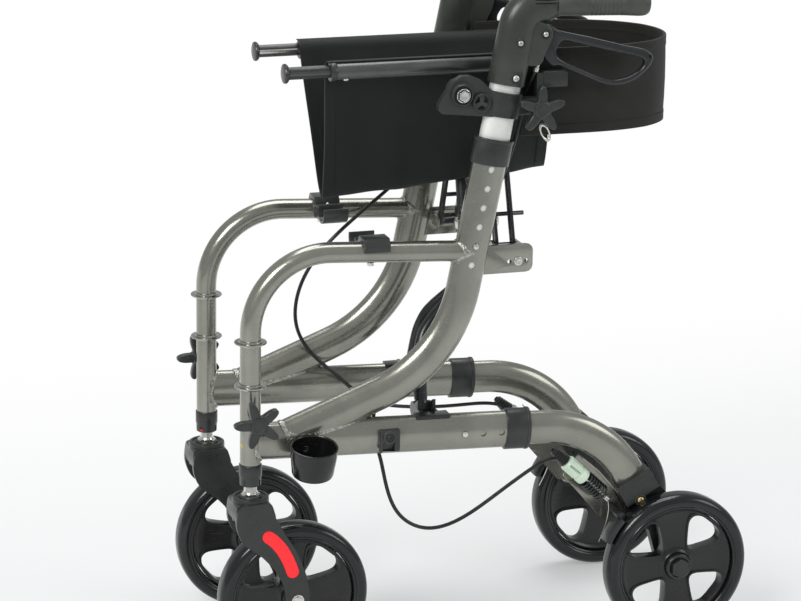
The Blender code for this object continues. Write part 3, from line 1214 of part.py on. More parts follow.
def make_strap(side, pivot):
    """Half of the backrest strap, from the clamp to the middle of the rear bend."""
    line = smooth_path(strap_route(side), 0.018)
    half = STRAP_THICKNESS / 2
    left, right = [], []
    for index, point in enumerate(line):
        before = line[max(index - 1, 0)]
        after = line[min(index + 1, len(line) - 1)]
        heading = (after - before).normalized()
        left.append((point.x - heading.y * half, point.y + heading.x * half))
        right.append((point.x + heading.y * half, point.y - heading.x * half))
    strap = plate(left + right[::-1], STRAP_TOP - STRAP_BOTTOM, at(z=(STRAP_TOP + STRAP_BOTTOM) / 2))
    return finish(strap, f"{side.name}_backrest_strap", STRAP_CLOTH, pivot)


def make_cup(side):
    """Open cup for a walking stick, on the outboard face of the lower tube."""
    offset = LOWER_WIDTH / 2 + GAP + CUP_RADIUS
    inner = CUP_RADIUS - CUP_WALL
    bottom = CUP_RIM - CUP_HEIGHT
    profile = [(0.0, bottom + CUP_WALL), (inner - 0.003, bottom + CUP_WALL), (inner, bottom + 0.006),
               (inner, CUP_RIM), (CUP_RADIUS, CUP_RIM), (CUP_RADIUS, bottom + 0.003),
               (CUP_RADIUS - 0.003, bottom), (0.0, bottom)]
    cup = turned(profile, at(CUP_X, side.out(offset)), 20)
    return finish(cup, "cane_cup", BLACK_PLASTIC)


def build():
    left, right = SIDES
    handles = {}
    for side in SIDES:
        make_upright(side)
        make_hoop(side)
        make_lower_tube(side)
        make_rail_clip(side)
        make_link_plate(side)
        make_front_knob(side)
        handles[side.name] = make_handle(side)
        make_rear_leg(side)
        make_caster(side)
        make_link(side)
    make_cable(left, LEFT_CABLE)
    make_cable(right, RIGHT_CABLE)
    make_cup(left)

    fold = add_pivot("fold_axis", (arm_x(left), -PIVOT_SPREAD, PIVOT_HEIGHT))
    middle_x = ARM_X + arm_offset(ARM_LENGTH / 2)
    middle_z = PIVOT_HEIGHT + ARM_LENGTH / 2 * cos(ARM_TILT)
    middle = add_pivot("brace_axis", (middle_x, 0, middle_z), fold)
    make_arm("front_brace_arm", left, arm_x(left), fold, True)
    make_arm("rear_brace_arm", right, arm_x(right), middle, False)
    make_rail(right, fold)
    make_rail(left, middle)
    make_sling(middle)

    start_x, start_y, _ = strap_route(left)[0]
    strap = add_pivot("left_strap_axis", (start_x, start_y, STRAP_BOTTOM), handles["left"])
    bend = add_pivot("right_strap_axis", (STRAP_REAR, 0, STRAP_BOTTOM), strap)
    make_strap(left, strap)
    make_strap(right, bend)


build()
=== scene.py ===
from math import atan2, cos, hypot, pi, radians, sin, tan

import bmesh
import bpy
from mathutils import Matrix, Vector


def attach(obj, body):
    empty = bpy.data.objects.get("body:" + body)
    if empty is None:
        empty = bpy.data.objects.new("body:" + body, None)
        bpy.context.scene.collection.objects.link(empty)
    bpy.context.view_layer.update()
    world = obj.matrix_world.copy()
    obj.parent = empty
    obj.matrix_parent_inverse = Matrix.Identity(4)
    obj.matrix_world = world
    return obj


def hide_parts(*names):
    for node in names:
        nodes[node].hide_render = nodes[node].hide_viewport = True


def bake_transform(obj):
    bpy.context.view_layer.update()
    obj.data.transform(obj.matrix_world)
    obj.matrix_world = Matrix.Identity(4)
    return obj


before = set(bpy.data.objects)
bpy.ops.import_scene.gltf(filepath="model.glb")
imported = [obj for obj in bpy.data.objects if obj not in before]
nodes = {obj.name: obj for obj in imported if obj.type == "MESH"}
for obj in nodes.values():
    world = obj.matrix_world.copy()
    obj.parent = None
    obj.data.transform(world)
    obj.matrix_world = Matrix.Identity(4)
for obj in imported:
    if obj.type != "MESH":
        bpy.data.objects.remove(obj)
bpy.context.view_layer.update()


# Studio. A pale floor that fades to white behind the rollator, a large soft lamp over the left
# front, a weaker one from the right and a broad one overhead. The camera stands to the front left
# of the rollator, well above the handles, and looks down on it.
def linked(name, data):
    """New object in the scene."""
    piece = bpy.data.objects.new(name, data)
    bpy.context.scene.collection.objects.link(piece)
    return piece


yaw, pitch, roll = radians(17.73), radians(16.09), radians(0.83)
sight = Vector((sin(yaw) * cos(pitch), cos(yaw) * cos(pitch), -sin(pitch)))
level = Vector((cos(yaw), -sin(yaw), 0.0))
upward = level.cross(sight)
columns = (cos(roll) * level + sin(roll) * upward, -sin(roll) * level + cos(roll) * upward, -sight)
camera_data = bpy.data.cameras.new("camera")
camera_data.sensor_width = 36.0
camera_data.lens = 3194.8 / 801 * 36.0
camera = linked("camera", camera_data)
camera.matrix_world = Matrix.LocRotScale(
    Vector((-1.3251, -3.8819, 1.6295)), Matrix(columns).transposed(), None)
bpy.context.scene.camera = camera
bpy.context.scene.view_settings.view_transform = "Standard"


def feed(tree, node, values):
    """Sets a node's input sockets, or links those for which an output socket is given."""
    for key, value in values.items():
        if isinstance(value, bpy.types.NodeSocket):
            tree.links.new(value, node.inputs[key])
        else:
            node.inputs[key].default_value = value
    return node


def add_node(tree, kind, values, operation=None):
    """Adds a shader node and feeds it."""
    node = tree.nodes.new("ShaderNode" + kind)
    if operation:
        node.operation = operation
    return feed(tree, node, values)


bpy.ops.mesh.primitive_plane_add(size=30.0, location=(0.0, 4.0, -0.0004))
floor = bpy.context.object
floor.name = "studio_floor"
floor_material = bpy.data.materials.new("studio_floor")
floor_material.use_nodes = True
floor_tree = floor_material.node_tree
floor_shader = feed(floor_tree, floor_tree.nodes["Principled BSDF"], {"Base Color": (0.83, 0.84, 0.84, 1),
                                                                      "Roughness": 0.55})
floor_glow = add_node(floor_tree, "Emission", {"Color": (1, 1, 1, 1)})
floor_place = add_node(floor_tree, "TexCoord", {})
floor_split = add_node(floor_tree, "SeparateXYZ", {0: floor_place.outputs["Object"]})
floor_fade = add_node(
    floor_tree, "MapRange", {"Value": floor_split.outputs["Y"], "From Min": -4.6, "From Max": -2.6})
floor_fade.interpolation_type = "SMOOTHSTEP"
floor_mix = add_node(floor_tree, "MixShader", {"Fac": floor_fade.outputs["Result"],
                                               1: floor_shader.outputs[0], 2: floor_glow.outputs[0]})
feed(floor_tree, floor_tree.nodes["Material Output"], {"Surface": floor_mix.outputs[0]})
floor.data.materials.append(floor_material)

# The sky is seen white by the camera and through clear parts, and dimmer in reflections.
world = bpy.data.worlds.new("studio")
bpy.context.scene.world = world
world.use_nodes = True
sky_tree = world.node_tree
plain_sky = feed(sky_tree, sky_tree.nodes["Background"], {"Color": (0.93, 0.96, 1.0, 1), "Strength": 0.34})
seen_sky = add_node(sky_tree, "Background", {"Color": (1, 1, 1, 1), "Strength": 1.0})
rays = add_node(sky_tree, "LightPath", {}).outputs
glossy_share = add_node(sky_tree, "Math", {0: rays["Is Glossy Ray"], 1: 0.24}, "MULTIPLY")
either_ray = add_node(sky_tree, "Math", {0: rays["Is Camera Ray"], 1: glossy_share.outputs[0]}, "MAXIMUM")
any_ray = add_node(sky_tree, "Math", {0: either_ray.outputs[0], 1: rays["Is Transmission Ray"]}, "MAXIMUM")
sky_mix = add_node(
    sky_tree, "MixShader", {"Fac": any_ray.outputs[0], 1: plain_sky.outputs[0], 2: seen_sky.outputs[0]})
feed(sky_tree, sky_tree.nodes["World Output"], {"Surface": sky_mix.outputs[0]})

for lamp_name, place, aim, size, power in (
        ("key_softbox", (-2.6, -2.4, 3.0), (0.0, 0.0, 0.4), 1.7, 88),
        ("right_softbox", (2.9, -1.9, 1.9), (0.0, 0.0, 0.4), 1.4, 20),
        ("overhead_softbox", (0.2, 0.6, 3.4), (0.0, 0.0, 0.3), 2.2, 62)):
    lamp_data = bpy.data.lights.new(lamp_name, "AREA")
    lamp_data.size = size
    lamp_data.energy = power
    lamp = linked(lamp_name, lamp_data)
    lamp.location = place
    lamp.rotation_euler = (Vector(aim) - Vector(place)).to_track_quat("-Z", "Y").to_euler()


# Side frame tubes. Each side is welded from drawn oval and round aluminium tube: the upright that
# sweeps down and forward, the front hoop that drops into the head tube, and the straight lower tube.
# All are sprayed in a pewter metallic paint under clear lacquer.
HALF_SPACING = 0.115
SIDES = (("left", -1.0, -HALF_SPACING), ("right", 1.0, HALF_SPACING))
HEAD_X = -0.3205
UPRIGHT_FOOT = (-0.055, 0.402)
UPRIGHT_LEAN = radians(11)
LOWER_SLOPE = radians(2.1)
UPRIGHT_SECTION = (0.046, 0.030)
LOWER_SECTION = (0.050, 0.030)
HOOP_SECTION = (0.027, 0.027)
FOOT_BEND = 0.18
HOOP_BEND = 0.100
HOLE_PITCH = 0.0255
WALL = 0.0018


def deselect():
    if bpy.context.object and bpy.context.object.mode != "OBJECT":
        bpy.ops.object.mode_set(mode="OBJECT")
    bpy.ops.object.select_all(action="DESELECT")


def pick(piece):
    deselect()
    piece.select_set(True)
    bpy.context.view_layer.objects.active = piece
    return piece


def edit_all():
    """Enters edit mode with all of the active piece selected."""
    bpy.ops.object.mode_set(mode="EDIT")
    bpy.ops.mesh.select_all(action="SELECT")


def leave_edit():
    """Turns the selected faces outward and leaves edit mode."""
    bpy.ops.mesh.normals_make_consistent(inside=False)
    bpy.ops.object.mode_set(mode="OBJECT")


def carve(piece, cutter, operation="DIFFERENCE"):
    """Applies a Boolean and takes the cutting piece away."""
    pick(piece)
    boolean = piece.modifiers.new("cut", "BOOLEAN")
    boolean.operation = operation
    boolean.object = cutter
    boolean.solver = "EXACT"
    bpy.ops.object.modifier_apply(modifier=boolean.name)
    bpy.data.objects.remove(cutter)
    return piece


def soften(piece, width, segments=2, angle=radians(35)):
    """Rounds the sharp edges and shades the rest smooth."""
    pick(piece)
    if width:
        bevel = piece.modifiers.new("edges", "BEVEL")
        bevel.width = width
        bevel.segments = segments
        bevel.limit_method = "ANGLE"
        bevel.angle_limit = radians(32)
        bpy.ops.object.modifier_apply(modifier=bevel.name)
    bpy.ops.object.shade_smooth_by_angle(angle=angle)
    return piece


def settle(piece, name, finish, body, stands_for=()):
    """Applies the piece's place, names it, gives it its finish and hangs it on its body."""
    pick(piece)
    bpy.ops.object.transform_apply(location=True, rotation=True, scale=True)
    piece.name = name
    piece.data.name = name
    piece.data.materials.clear()
    piece.data.materials.append(finish)
    if body:
        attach(piece, body)
    if stands_for:
        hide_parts(*stands_for)
    return piece


def upright_at(distance):
    """Point of the upright's straight run, by its distance from the foot bend's corner."""
    return (UPRIGHT_FOOT[0] + distance * sin(UPRIGHT_LEAN), UPRIGHT_FOOT[1] + distance * cos(UPRIGHT_LEAN))


def lower_at(distance):
    """Point of the lower tube, by its distance from the head tube."""
    return (HEAD_X + distance * cos(LOWER_SLOPE), 0.315 - distance * sin(LOWER_SLOPE))


def drawn_tube(y, corners, bends, depth, width, sides=40, wall=0.0, turn=radians(4), taper=1.0):
    """Tube in the side view: a ring extruded along its straight runs and spun round its bends."""
    points = [Vector((x, y, z)) for x, z in corners]
    heading = (points[1] - points[0]).normalized()
    deselect()
    bpy.ops.mesh.primitive_circle_add(
        vertices=sides, radius=1.0, location=points[0], rotation=(0.0, atan2(heading.x, heading.z), 0.0),
        scale=(depth / 2, width / 2, 1.0))
    piece = bpy.context.object
    piece.scale = (depth / 2, width / 2, 1.0)
    bpy.ops.object.transform_apply(location=True, rotation=True, scale=True)
    edit_all()
    reached = points[0]
    for corner, after, bend in zip(points[1:], points[2:], bends):
        onward = (after - corner).normalized()
        swept = heading.angle(onward)
        tangent = corner - heading * bend * tan(swept / 2)
        bpy.ops.mesh.extrude_region_move(TRANSFORM_OT_translate={"value": tangent - reached})
        inward = (onward - heading * heading.dot(onward)).normalized()
        centre = tangent + inward * bend
        axis = heading.cross(inward)
        bpy.ops.mesh.spin(steps=max(2, round(swept / turn)), angle=swept * (-1 if axis.y > 0 else 1),
                          center=centre, axis=(0.0, 1.0, 0.0))
        reached = centre + Matrix.Rotation(swept, 3, axis) @ (tangent - centre)
        heading = onward
    bpy.ops.mesh.extrude_region_move(TRANSFORM_OT_translate={"value": points[-1] - reached})
    if taper != 1.0:
        bpy.ops.transform.resize(value=(taper, taper, taper), center_override=points[-1])
    bpy.ops.mesh.select_all(action="SELECT")
    bpy.ops.mesh.remove_doubles(threshold=0.00001)
    if not wall:
        bpy.ops.mesh.fill_holes(sides=0)
    leave_edit()
    if wall:
        pick(piece)
        solid = piece.modifiers.new("wall", "SOLIDIFY")
        solid.thickness = wall
        solid.offset = -1.0
        bpy.ops.object.modifier_apply(modifier=solid.name)
    return piece


def cross_bar(radius, x, z, y_from, y_to, sides=32):
    """Round bar across the rollator, used as a drill or as a pin."""
    deselect()
    bpy.ops.mesh.primitive_cylinder_add(vertices=sides, radius=radius, depth=abs(y_to - y_from),
                                        location=(x, (y_from + y_to) / 2, z), rotation=(pi / 2, 0.0, 0.0))
    return bpy.context.object


def drill(piece, radius, x, z, y_from, y_to):
    return carve(piece, cross_bar(radius, x, z, y_from, y_to, 24))


def new_group(name, inputs, outputs):
    """Node group with a vector input, number inputs with their defaults, and number outputs."""
    group = bpy.data.node_groups.new(name, "ShaderNodeTree")
    group.interface.new_socket(name="Vector", in_out="INPUT", socket_type="NodeSocketVector")
    for socket_name, default in inputs:
        socket = group.interface.new_socket(name=socket_name, in_out="INPUT", socket_type="NodeSocketFloat")
        socket.default_value = default
    for socket_name in outputs:
        group.interface.new_socket(name=socket_name, in_out="OUTPUT", socket_type="NodeSocketFloat")
    return group, group.nodes.new("NodeGroupInput").outputs, group.nodes.new("NodeGroupOutput")


# The wear and grain that every finish but the cloths shows, at its own scale: soft mottling, fine
# specks, which are the height of the bump too, and thin scratches.
surface_life, life_in, life_out = new_group(
    "surface_life", (("Mottle Scale", 20.0), ("Grain Scale", 900.0), ("Scratch Scale", 60.0)),
    ("Mottle", "Grain", "Scratches"))
mottle = add_node(surface_life, "TexNoise", {"Vector": life_in["Vector"], "Scale": life_in["Mottle Scale"],
                                             "Detail": 5.0, "Roughness": 0.6})
mottle_range = add_node(
    surface_life, "MapRange", {"Value": mottle.outputs["Fac"], "From Min": 0.3, "From Max": 0.7})
grain = add_node(
    surface_life, "TexNoise", {"Vector": life_in["Vector"], "Scale": life_in["Grain Scale"], "Detail": 2.0})
stretch = add_node(surface_life, "Mapping", {"Vector": life_in["Vector"], "Rotation": (0.4, 0.7, 0.2),
                                             "Scale": (1.0, 9.0, 5.0)})
scratch = add_node(surface_life, "TexNoise", {"Vector": stretch.outputs[0],
                                              "Scale": life_in["Scratch Scale"], "Detail": 1.0})
scratch_range = add_node(
    surface_life, "MapRange", {"Value": scratch.outputs["Fac"], "From Min": 0.66, "From Max": 0.72})
feed(surface_life, life_out, {"Mottle": mottle_range.outputs[0], "Grain": grain.outputs["Fac"],
                              "Scratches": scratch_range.outputs[0]})


def new_material(name):
    """Empty finish, which settle() puts in a piece's only material slot."""
    material = bpy.data.materials.new(name)
    material.use_nodes = True
    return material


def two_tone(tree, factor, dark, light):
    """Colour between a dark and a light tone."""
    tone = add_node(tree, "Mix", {})
    tone.data_type = "RGBA"
    feed(tree, tone, {"Factor": factor, "A": (*dark, 1), "B": (*light, 1)})
    return tone.outputs["Result"]


def new_finish(name, dark, light, roughness, metallic=0.0, mottle_scale=20.0, grain_scale=900.0,
               grain_depth=0.00002, scratch_share=0.15, scratch_scale=60.0, grain_tint=0.0, coat=0.0,
               coat_roughness=0.03):
    """A finish whose colour, gloss and relief vary a little over the surface."""
    material = new_material(name)
    material.diffuse_color = (*light, 1)
    tree = material.node_tree
    place = add_node(tree, "TexCoord", {})
    life = add_node(tree, "Group", {})
    life.node_tree = surface_life
    feed(tree, life, {"Vector": place.outputs["Object"], "Mottle Scale": mottle_scale,
                      "Grain Scale": grain_scale, "Scratch Scale": scratch_scale})
    mottled, specks = life.outputs["Mottle"], life.outputs["Grain"]
    factor = mottled
    if grain_tint:
        speck = add_node(tree, "Math", {0: specks, 1: grain_tint, 2: mottled}, "MULTIPLY_ADD")
        speck.use_clamp = True
        factor = speck.outputs[0]
    gloss = add_node(
        tree, "MapRange", {"Value": mottled, "To Min": roughness * 0.88, "To Max": roughness * 1.12})
    rubbed = add_node(tree, "Math", {0: life.outputs["Scratches"], 1: scratch_share, 2: gloss.outputs[0]},
                      "MULTIPLY_ADD")
    relief = add_node(tree, "Bump", {"Strength": 1.0, "Distance": grain_depth, "Height": specks})
    feed(tree, tree.nodes["Principled BSDF"], {"Base Color": two_tone(tree, factor, dark, light),
                                               "Metallic": metallic, "Coat Weight": coat,
                                               "Coat Roughness": coat_roughness,
                                               "Roughness": rubbed.outputs[0], "Normal": relief.outputs[0]})
    return material


frame_paint = new_finish("pewter_paint", (0.228, 0.227, 0.193), (0.322, 0.320, 0.275), 0.235,
                         0.80, 14.0, 1500.0, 0.000012, 0.10, 40.0, 0.35, 0.5, 0.06)
black_plastic = new_finish("black_moulded_plastic", (0.0215, 0.0240, 0.0230),
                           (0.0370, 0.0408, 0.0390), 0.30, 0.0, 30.0, 1400.0, 0.00003)
bright_steel = new_finish("bright_zinc", (0.62, 0.61, 0.57), (0.80, 0.79, 0.75), 0.24, 1.0, 60.0,
                          1600.0, 0.00001)
weld_finish = new_finish("weld_bead_paint", (0.18, 0.18, 0.156), (0.58, 0.58, 0.52), 0.20,
                         0.92, 240.0, 420.0, 0.0011, 0.05, coat=0.7)


def hoop_corners():
    run = upright_at(0.15)[0] - HEAD_X
    return [(HEAD_X, 0.2855), (HEAD_X, 0.565), (HEAD_X + run, 0.565 - run * tan(radians(3.1)))]


def foot_corners(top):
    slope = radians(21.2)
    foot = (UPRIGHT_FOOT[0] - 0.236 * cos(slope), UPRIGHT_FOOT[1] - 0.236 * sin(slope))
    return [foot, UPRIGHT_FOOT, upright_at(top)]


def swollen_tube(y, corners, bends, section):
    """Copy of a tube, thicker by two weld beads."""
    return drawn_tube(y, corners, bends, section[0] + 0.0034, section[1] + 0.0034, 32)


def drill_row(tube, sign, at_distance, first, pitch, count):
    """Button holes in a tube's outer wall."""
    for number in range(count):
        x, z = at_distance(first + pitch * number)
        drill(tube, 0.0045, x, z, sign * HALF_SPACING, sign * HALF_SPACING + sign * 0.03)


for side, sign, plane in SIDES:
    body = f"{side}_frame"
    upright = drawn_tube(plane, foot_corners(0.297), [FOOT_BEND], *UPRIGHT_SECTION, 48, WALL)
    drill_row(upright, sign, upright_at, 0.2608, -HOLE_PITCH, 6)
    settle(soften(upright, 0.0), f"{side}_upright_skin", frame_paint, body, (f"{side}_upright_tube",))

    hoop = drawn_tube(plane, hoop_corners(), [HOOP_BEND], *HOOP_SECTION, 48)
    carve(hoop, drawn_tube(plane, foot_corners(0.297), [FOOT_BEND], 0.0455, 0.0295, 32))
    settle(soften(hoop, 0.0), f"{side}_hoop_skin", frame_paint, body, (f"{side}_front_hoop",))

    lower = drawn_tube(plane, [lower_at(0.0068), lower_at(0.3745)], [], *LOWER_SECTION, 48, WALL)
    drill_row(lower, sign, lower_at, 0.2865, HOLE_PITCH, 3)
    settle(soften(lower, 0.0), f"{side}_lower_skin", frame_paint, body, (f"{side}_lower_tube",))

    # Weld beads stand where two swollen copies of the joined tubes overlap outside the tubes.
    lower_run = ([lower_at(0.002), lower_at(0.30)], [], LOWER_SECTION)
    for bead_name, first, second in (
            ("foot_weld", (foot_corners(0.12), [FOOT_BEND], UPRIGHT_SECTION), lower_run),
            ("hoop_weld", (foot_corners(0.25), [FOOT_BEND], UPRIGHT_SECTION),
             (hoop_corners(), [HOOP_BEND], HOOP_SECTION)),
            ("head_weld", (hoop_corners()[:2], [], HOOP_SECTION), lower_run)):
        bead = carve(swollen_tube(plane, *first), swollen_tube(plane, *second), "INTERSECT")
        settle(soften(bead, 0.0, angle=radians(60)), f"{side}_{bead_name}", weld_finish, body)


# Sleeves. A black nylon sleeve is pressed on the end of each outer tube. It guides the sliding
# tube, closes the gap and ends in a thicker rolled lip.
for side, _, plane in SIDES:
    for sleeve_name, at_distance, end, length, depth in (("upper_sleeve", upright_at, 0.300, 0.034, 0.046),
                                                         ("lower_sleeve", lower_at, 0.3775, 0.032, 0.050)):
        for part, first, last, swell, edge in (("", end - length, end, 0.006, 0.0010),
                                               ("_lip", end - 0.0045, end + 0.0006, 0.0078, 0.0012)):
            ring = drawn_tube(plane, [at_distance(first), at_distance(last)], [], depth + swell, 0.030
                              + swell, 48, 0.0046)
            settle(soften(ring, edge, 3), f"{side}_{sleeve_name}{part}", black_plastic, f"{side}_frame")


# Head tube fittings. Two pressed hanger rings are welded round each head tube for a basket, and a
# notched black nylon collar closes its lower end over the caster's spindle.
def mm(points):
    """Points given in millimetres."""
    return [tuple(value / 1000 for value in point) for point in points]


def spun(section, place, steps=64):
    """Piece turned from a closed section of radius and height."""
    deselect()
    bpy.ops.mesh.primitive_circle_add(vertices=len(section), radius=0.01)
    piece = bpy.context.object
    for vertex, (radius, height) in zip(piece.data.vertices, section):
        vertex.co = (radius, 0.0, height)
    edit_all()
    bpy.ops.mesh.spin(steps=steps, angle=2 * pi, center=(0.0, 0.0, 0.0), axis=(0.0, 0.0, 1.0))
    bpy.ops.mesh.select_all(action="SELECT")
    bpy.ops.mesh.remove_doubles(threshold=0.000002)
    leave_edit()
    piece.data.transform(place)
    return piece


def turned(section, place, name, finish, body, stands_for=(), steps=64, angle=radians(35)):
    """A spun piece, shaded smooth and settled."""
    return settle(soften(spun(section, place, steps), 0.0, angle=angle), name, finish, body, stands_for)


def block(location, scale, rotation=(0.0, 0.0, 0.0)):
    """Plain box, to be cut out of a piece or to be carved into one."""
    deselect()
    bpy.ops.mesh.primitive_cube_add(size=1.0, location=location, rotation=rotation, scale=scale)
    return bpy.context.object


ring_finish = new_finish("ring_paint", (0.34, 0.34, 0.31), (0.50, 0.50, 0.46), 0.17, 1.0,
                         60.0, 900.0, 0.00004, 0.08)
for side, _, plane in SIDES:
    for number, height in enumerate((0.390, 0.448)):
        turned(mm([(12.8, -4), (15.2, -3.5), (15.8, -1.2), (20.5, -1), (21, -0.4), (21, 0.6), (20.5, 1.2),
                   (15.8, 1.4), (15.2, 3.5), (12.8, 4)]), Matrix.Translation((HEAD_X, plane, height)),
               f"{side}_hanger_ring_{number + 1}", ring_finish, f"{side}_frame")
    collar = spun(mm([(8.8, 291.5), (11.5, 291.5), (11.5, 285.6), (14.2, 285.2), (14.8, 284.2), (14.8, 269),
                      (14.2, 268), (14, 266), (13.8, 257.2), (13, 256.5), (8.8, 256.5)]),
                  Matrix.Translation((HEAD_X, plane, 0.0)))
    for quarter in range(4):
        angle = pi / 4 + quarter * pi / 2
        carve(collar, block((HEAD_X + 0.0148 * cos(angle), plane + 0.0148 * sin(angle), 0.2590),
                            (0.004, 0.0032, 0.012), (0.0, 0.0, angle)))
    settle(soften(collar, 0.0004), f"{side}_head_collar", black_plastic, f"{side}_frame")


# Rail clips and link plates. The nylon clip is a split ring round the hoop with an open cradle for
# the seat rail. The link plate is flat steel welded behind the upright and painted with it; black
# discs in its two holes are painted shade, for the dark seen through them.
def dressed(node, edge, segments=2, angle=radians(35), merge=0.00001):
    """A copy of a solid with its facets merged, its edges rounded and its round faces smooth."""
    piece = linked(node, nodes[node].data.copy())
    pick(piece)
    if piece.data.has_custom_normals:
        bpy.ops.mesh.customdata_custom_splitnormals_clear()
    edit_all()
    bpy.ops.mesh.remove_doubles(threshold=merge)
    bpy.ops.mesh.dissolve_limited(angle_limit=radians(0.6))
    bpy.ops.object.mode_set(mode="OBJECT")
    return soften(piece, edge, segments, angle)


def outward(sign, x, z, offset):
    """Place whose height axis points out of one side of the rollator."""
    turn = Matrix.Rotation(-sign * pi / 2, 4, "X")
    return Matrix.Translation((x, sign * (HALF_SPACING + offset), z)) @ turn


def hex_bolt(place, radius, height, name, finish, body):
    """Hexagon head on a washer, with a small dished end."""
    deselect()
    bpy.ops.mesh.primitive_cylinder_add(
        vertices=6, radius=radius, depth=height, location=(0.0, 0.0, height / 2))
    head = bpy.context.object
    bpy.ops.object.transform_apply(location=True, rotation=True, scale=True)
    bpy.ops.object.mode_set(mode="EDIT")
    bpy.ops.mesh.select_all(action="DESELECT")
    bpy.ops.object.mode_set(mode="OBJECT")
    for face in head.data.polygons:
        face.select = face.normal.z > 0.9
    bpy.ops.object.mode_set(mode="EDIT")
    bpy.ops.mesh.inset(thickness=radius * 0.34)
    bpy.ops.transform.translate(value=(0.0, 0.0, -height * 0.12))
    bpy.ops.object.mode_set(mode="OBJECT")
    washer = spun([(radius * 0.4, -0.0002), (radius * 1.22, -0.0002), (radius * 1.28, 0.0004),
                   (radius * 1.22, 0.0009), (radius * 0.4, 0.0009)], Matrix(), 32)
    deselect()
    washer.select_set(True)
    head.select_set(True)
    bpy.context.view_layer.objects.active = head
    bpy.ops.object.join()
    head.data.transform(place)
    soften(head, radius * 0.07)
    return settle(head, name, finish, body)


def pan_screw(place, radius, name, finish, body):
    """Domed screw head with a cross cut in it."""
    head = spun([(0.0, 0.0), (radius, 0.0), (radius, radius * 0.12), (radius * 0.92, radius * 0.32),
                 (radius * 0.70, radius * 0.50), (radius * 0.4, radius * 0.60), (0.0, radius * 0.62)],
                Matrix(), 28)
    for turn in (0.35, 0.35 + pi / 2):
        carve(head, block((0.0, 0.0, radius * 0.62), (radius * 1.15, radius * 0.22, radius * 0.7),
                          (0.0, 0.0, turn)))
    head.data.transform(place)
    soften(head, 0.0)
    return settle(head, name, finish, body)


for side, sign, plane in SIDES:
    body = f"{side}_frame"
    clip = dressed(f"{side}_rail_clip", 0.0009)
    settle(clip, f"{side}_rail_clip_body", black_plastic, body, (f"{side}_rail_clip",))
    inboard_screw = Matrix.Translation((-0.157, sign * (HALF_SPACING - 0.0167), 0.5655))
    inboard_screw = inboard_screw @ Matrix.Rotation(sign * pi / 2, 4, "X")
    pan_screw(inboard_screw, 0.0030, f"{side}_clip_screw", bright_steel, body)
    plate = dressed(f"{side}_link_plate", 0.0008)
    settle(plate, f"{side}_link_plate_body", frame_paint, body, (f"{side}_link_plate",))
    # Black discs in the plate's holes: painted shade standing for the dark seen through them.
    for number, hole_x in enumerate((0.0335, 0.0505)):
        turned(mm([(0, -1), (3.1, -1), (3.1, 0.8), (0, 0.8)]), outward(sign, hole_x, 0.528, -0.0095),
               f"{side}_plate_hole_shade_{number + 1}", black_plastic, body, steps=24)
    hex_bolt(outward(sign, 0.042, 0.528, -0.0078), 0.0046, 0.0030, f"{side}_plate_bolt", bright_steel, body)
    hex_bolt(outward(sign, -0.0185, 0.5655, 0.004), 0.0042, 0.0060, f"{side}_stop_bolt", bright_steel, body)
    hex_bolt(Matrix.Translation((-0.162, plane, 0.5432)) @ Matrix.Rotation(pi, 4, "X"), 0.0044, 0.0050,
             f"{side}_clip_bolt", bright_steel, body)


# Brace feet and cable clips. A black steel foot is welded on each lower tube and carries the brace's
# pivot between two lugs. A nylon clip on the outer face leads the brake cable through its open base.
black_metal = new_finish("black_powder_coat", (0.0130, 0.0144, 0.0150),
                         (0.0240, 0.0262, 0.0272), 0.22, 0.0, 26.0, 1300.0, 0.00003, 0.10)
for side, sign, plane in SIDES:
    body = f"{side}_frame"
    foot = dressed(f"{side}_lower_tube", 0.0)
    carve(foot, drawn_tube(plane, [lower_at(-0.02), lower_at(0.42)], [], 0.0506, 0.0306, 32))
    kept = bmesh.new()
    kept.from_mesh(foot.data)
    out = [v for v in kept.verts
           if not -0.112 < v.co.x < -0.015 or abs(v.co.y - plane) < 0.0185 and v.co.z < 0.319]
    bmesh.ops.delete(kept, geom=out, context="VERTS")
    kept.to_mesh(foot.data)
    kept.free()
    carve(foot, block((-0.0635, plane, 0.3418), (0.14, 0.042, 0.020)))
    settle(soften(foot, 0.0006), f"{side}_brace_foot", black_metal, body)

    clip_x, clip_z = lower_at(0.182)
    clip = block((clip_x, plane + sign * 0.0178, clip_z - 0.002), (0.027, 0.0088, 0.030))
    carve(clip, block((clip_x - 0.002, plane + sign * 0.0195, clip_z - 0.014), (0.016, 0.0100, 0.018)))
    settle(soften(clip, 0.0040, 4), f"{side}_cable_clip", black_plastic, body)
    turned(mm([(0, -2), (9.8, -2), (9.8, 1.2), (8.8, 2.4), (6, 2.4), (5.2, 1.2), (0, 1.2)]),
           outward(sign, clip_x - 0.001, clip_z + 0.003, 0.0218), f"{side}_clip_boss", black_plastic, body,
           steps=40)
    pan_screw(outward(sign, clip_x - 0.001, clip_z + 0.003, 0.0229), 0.0042, f"{side}_cable_clip_screw",
              black_metal, body)


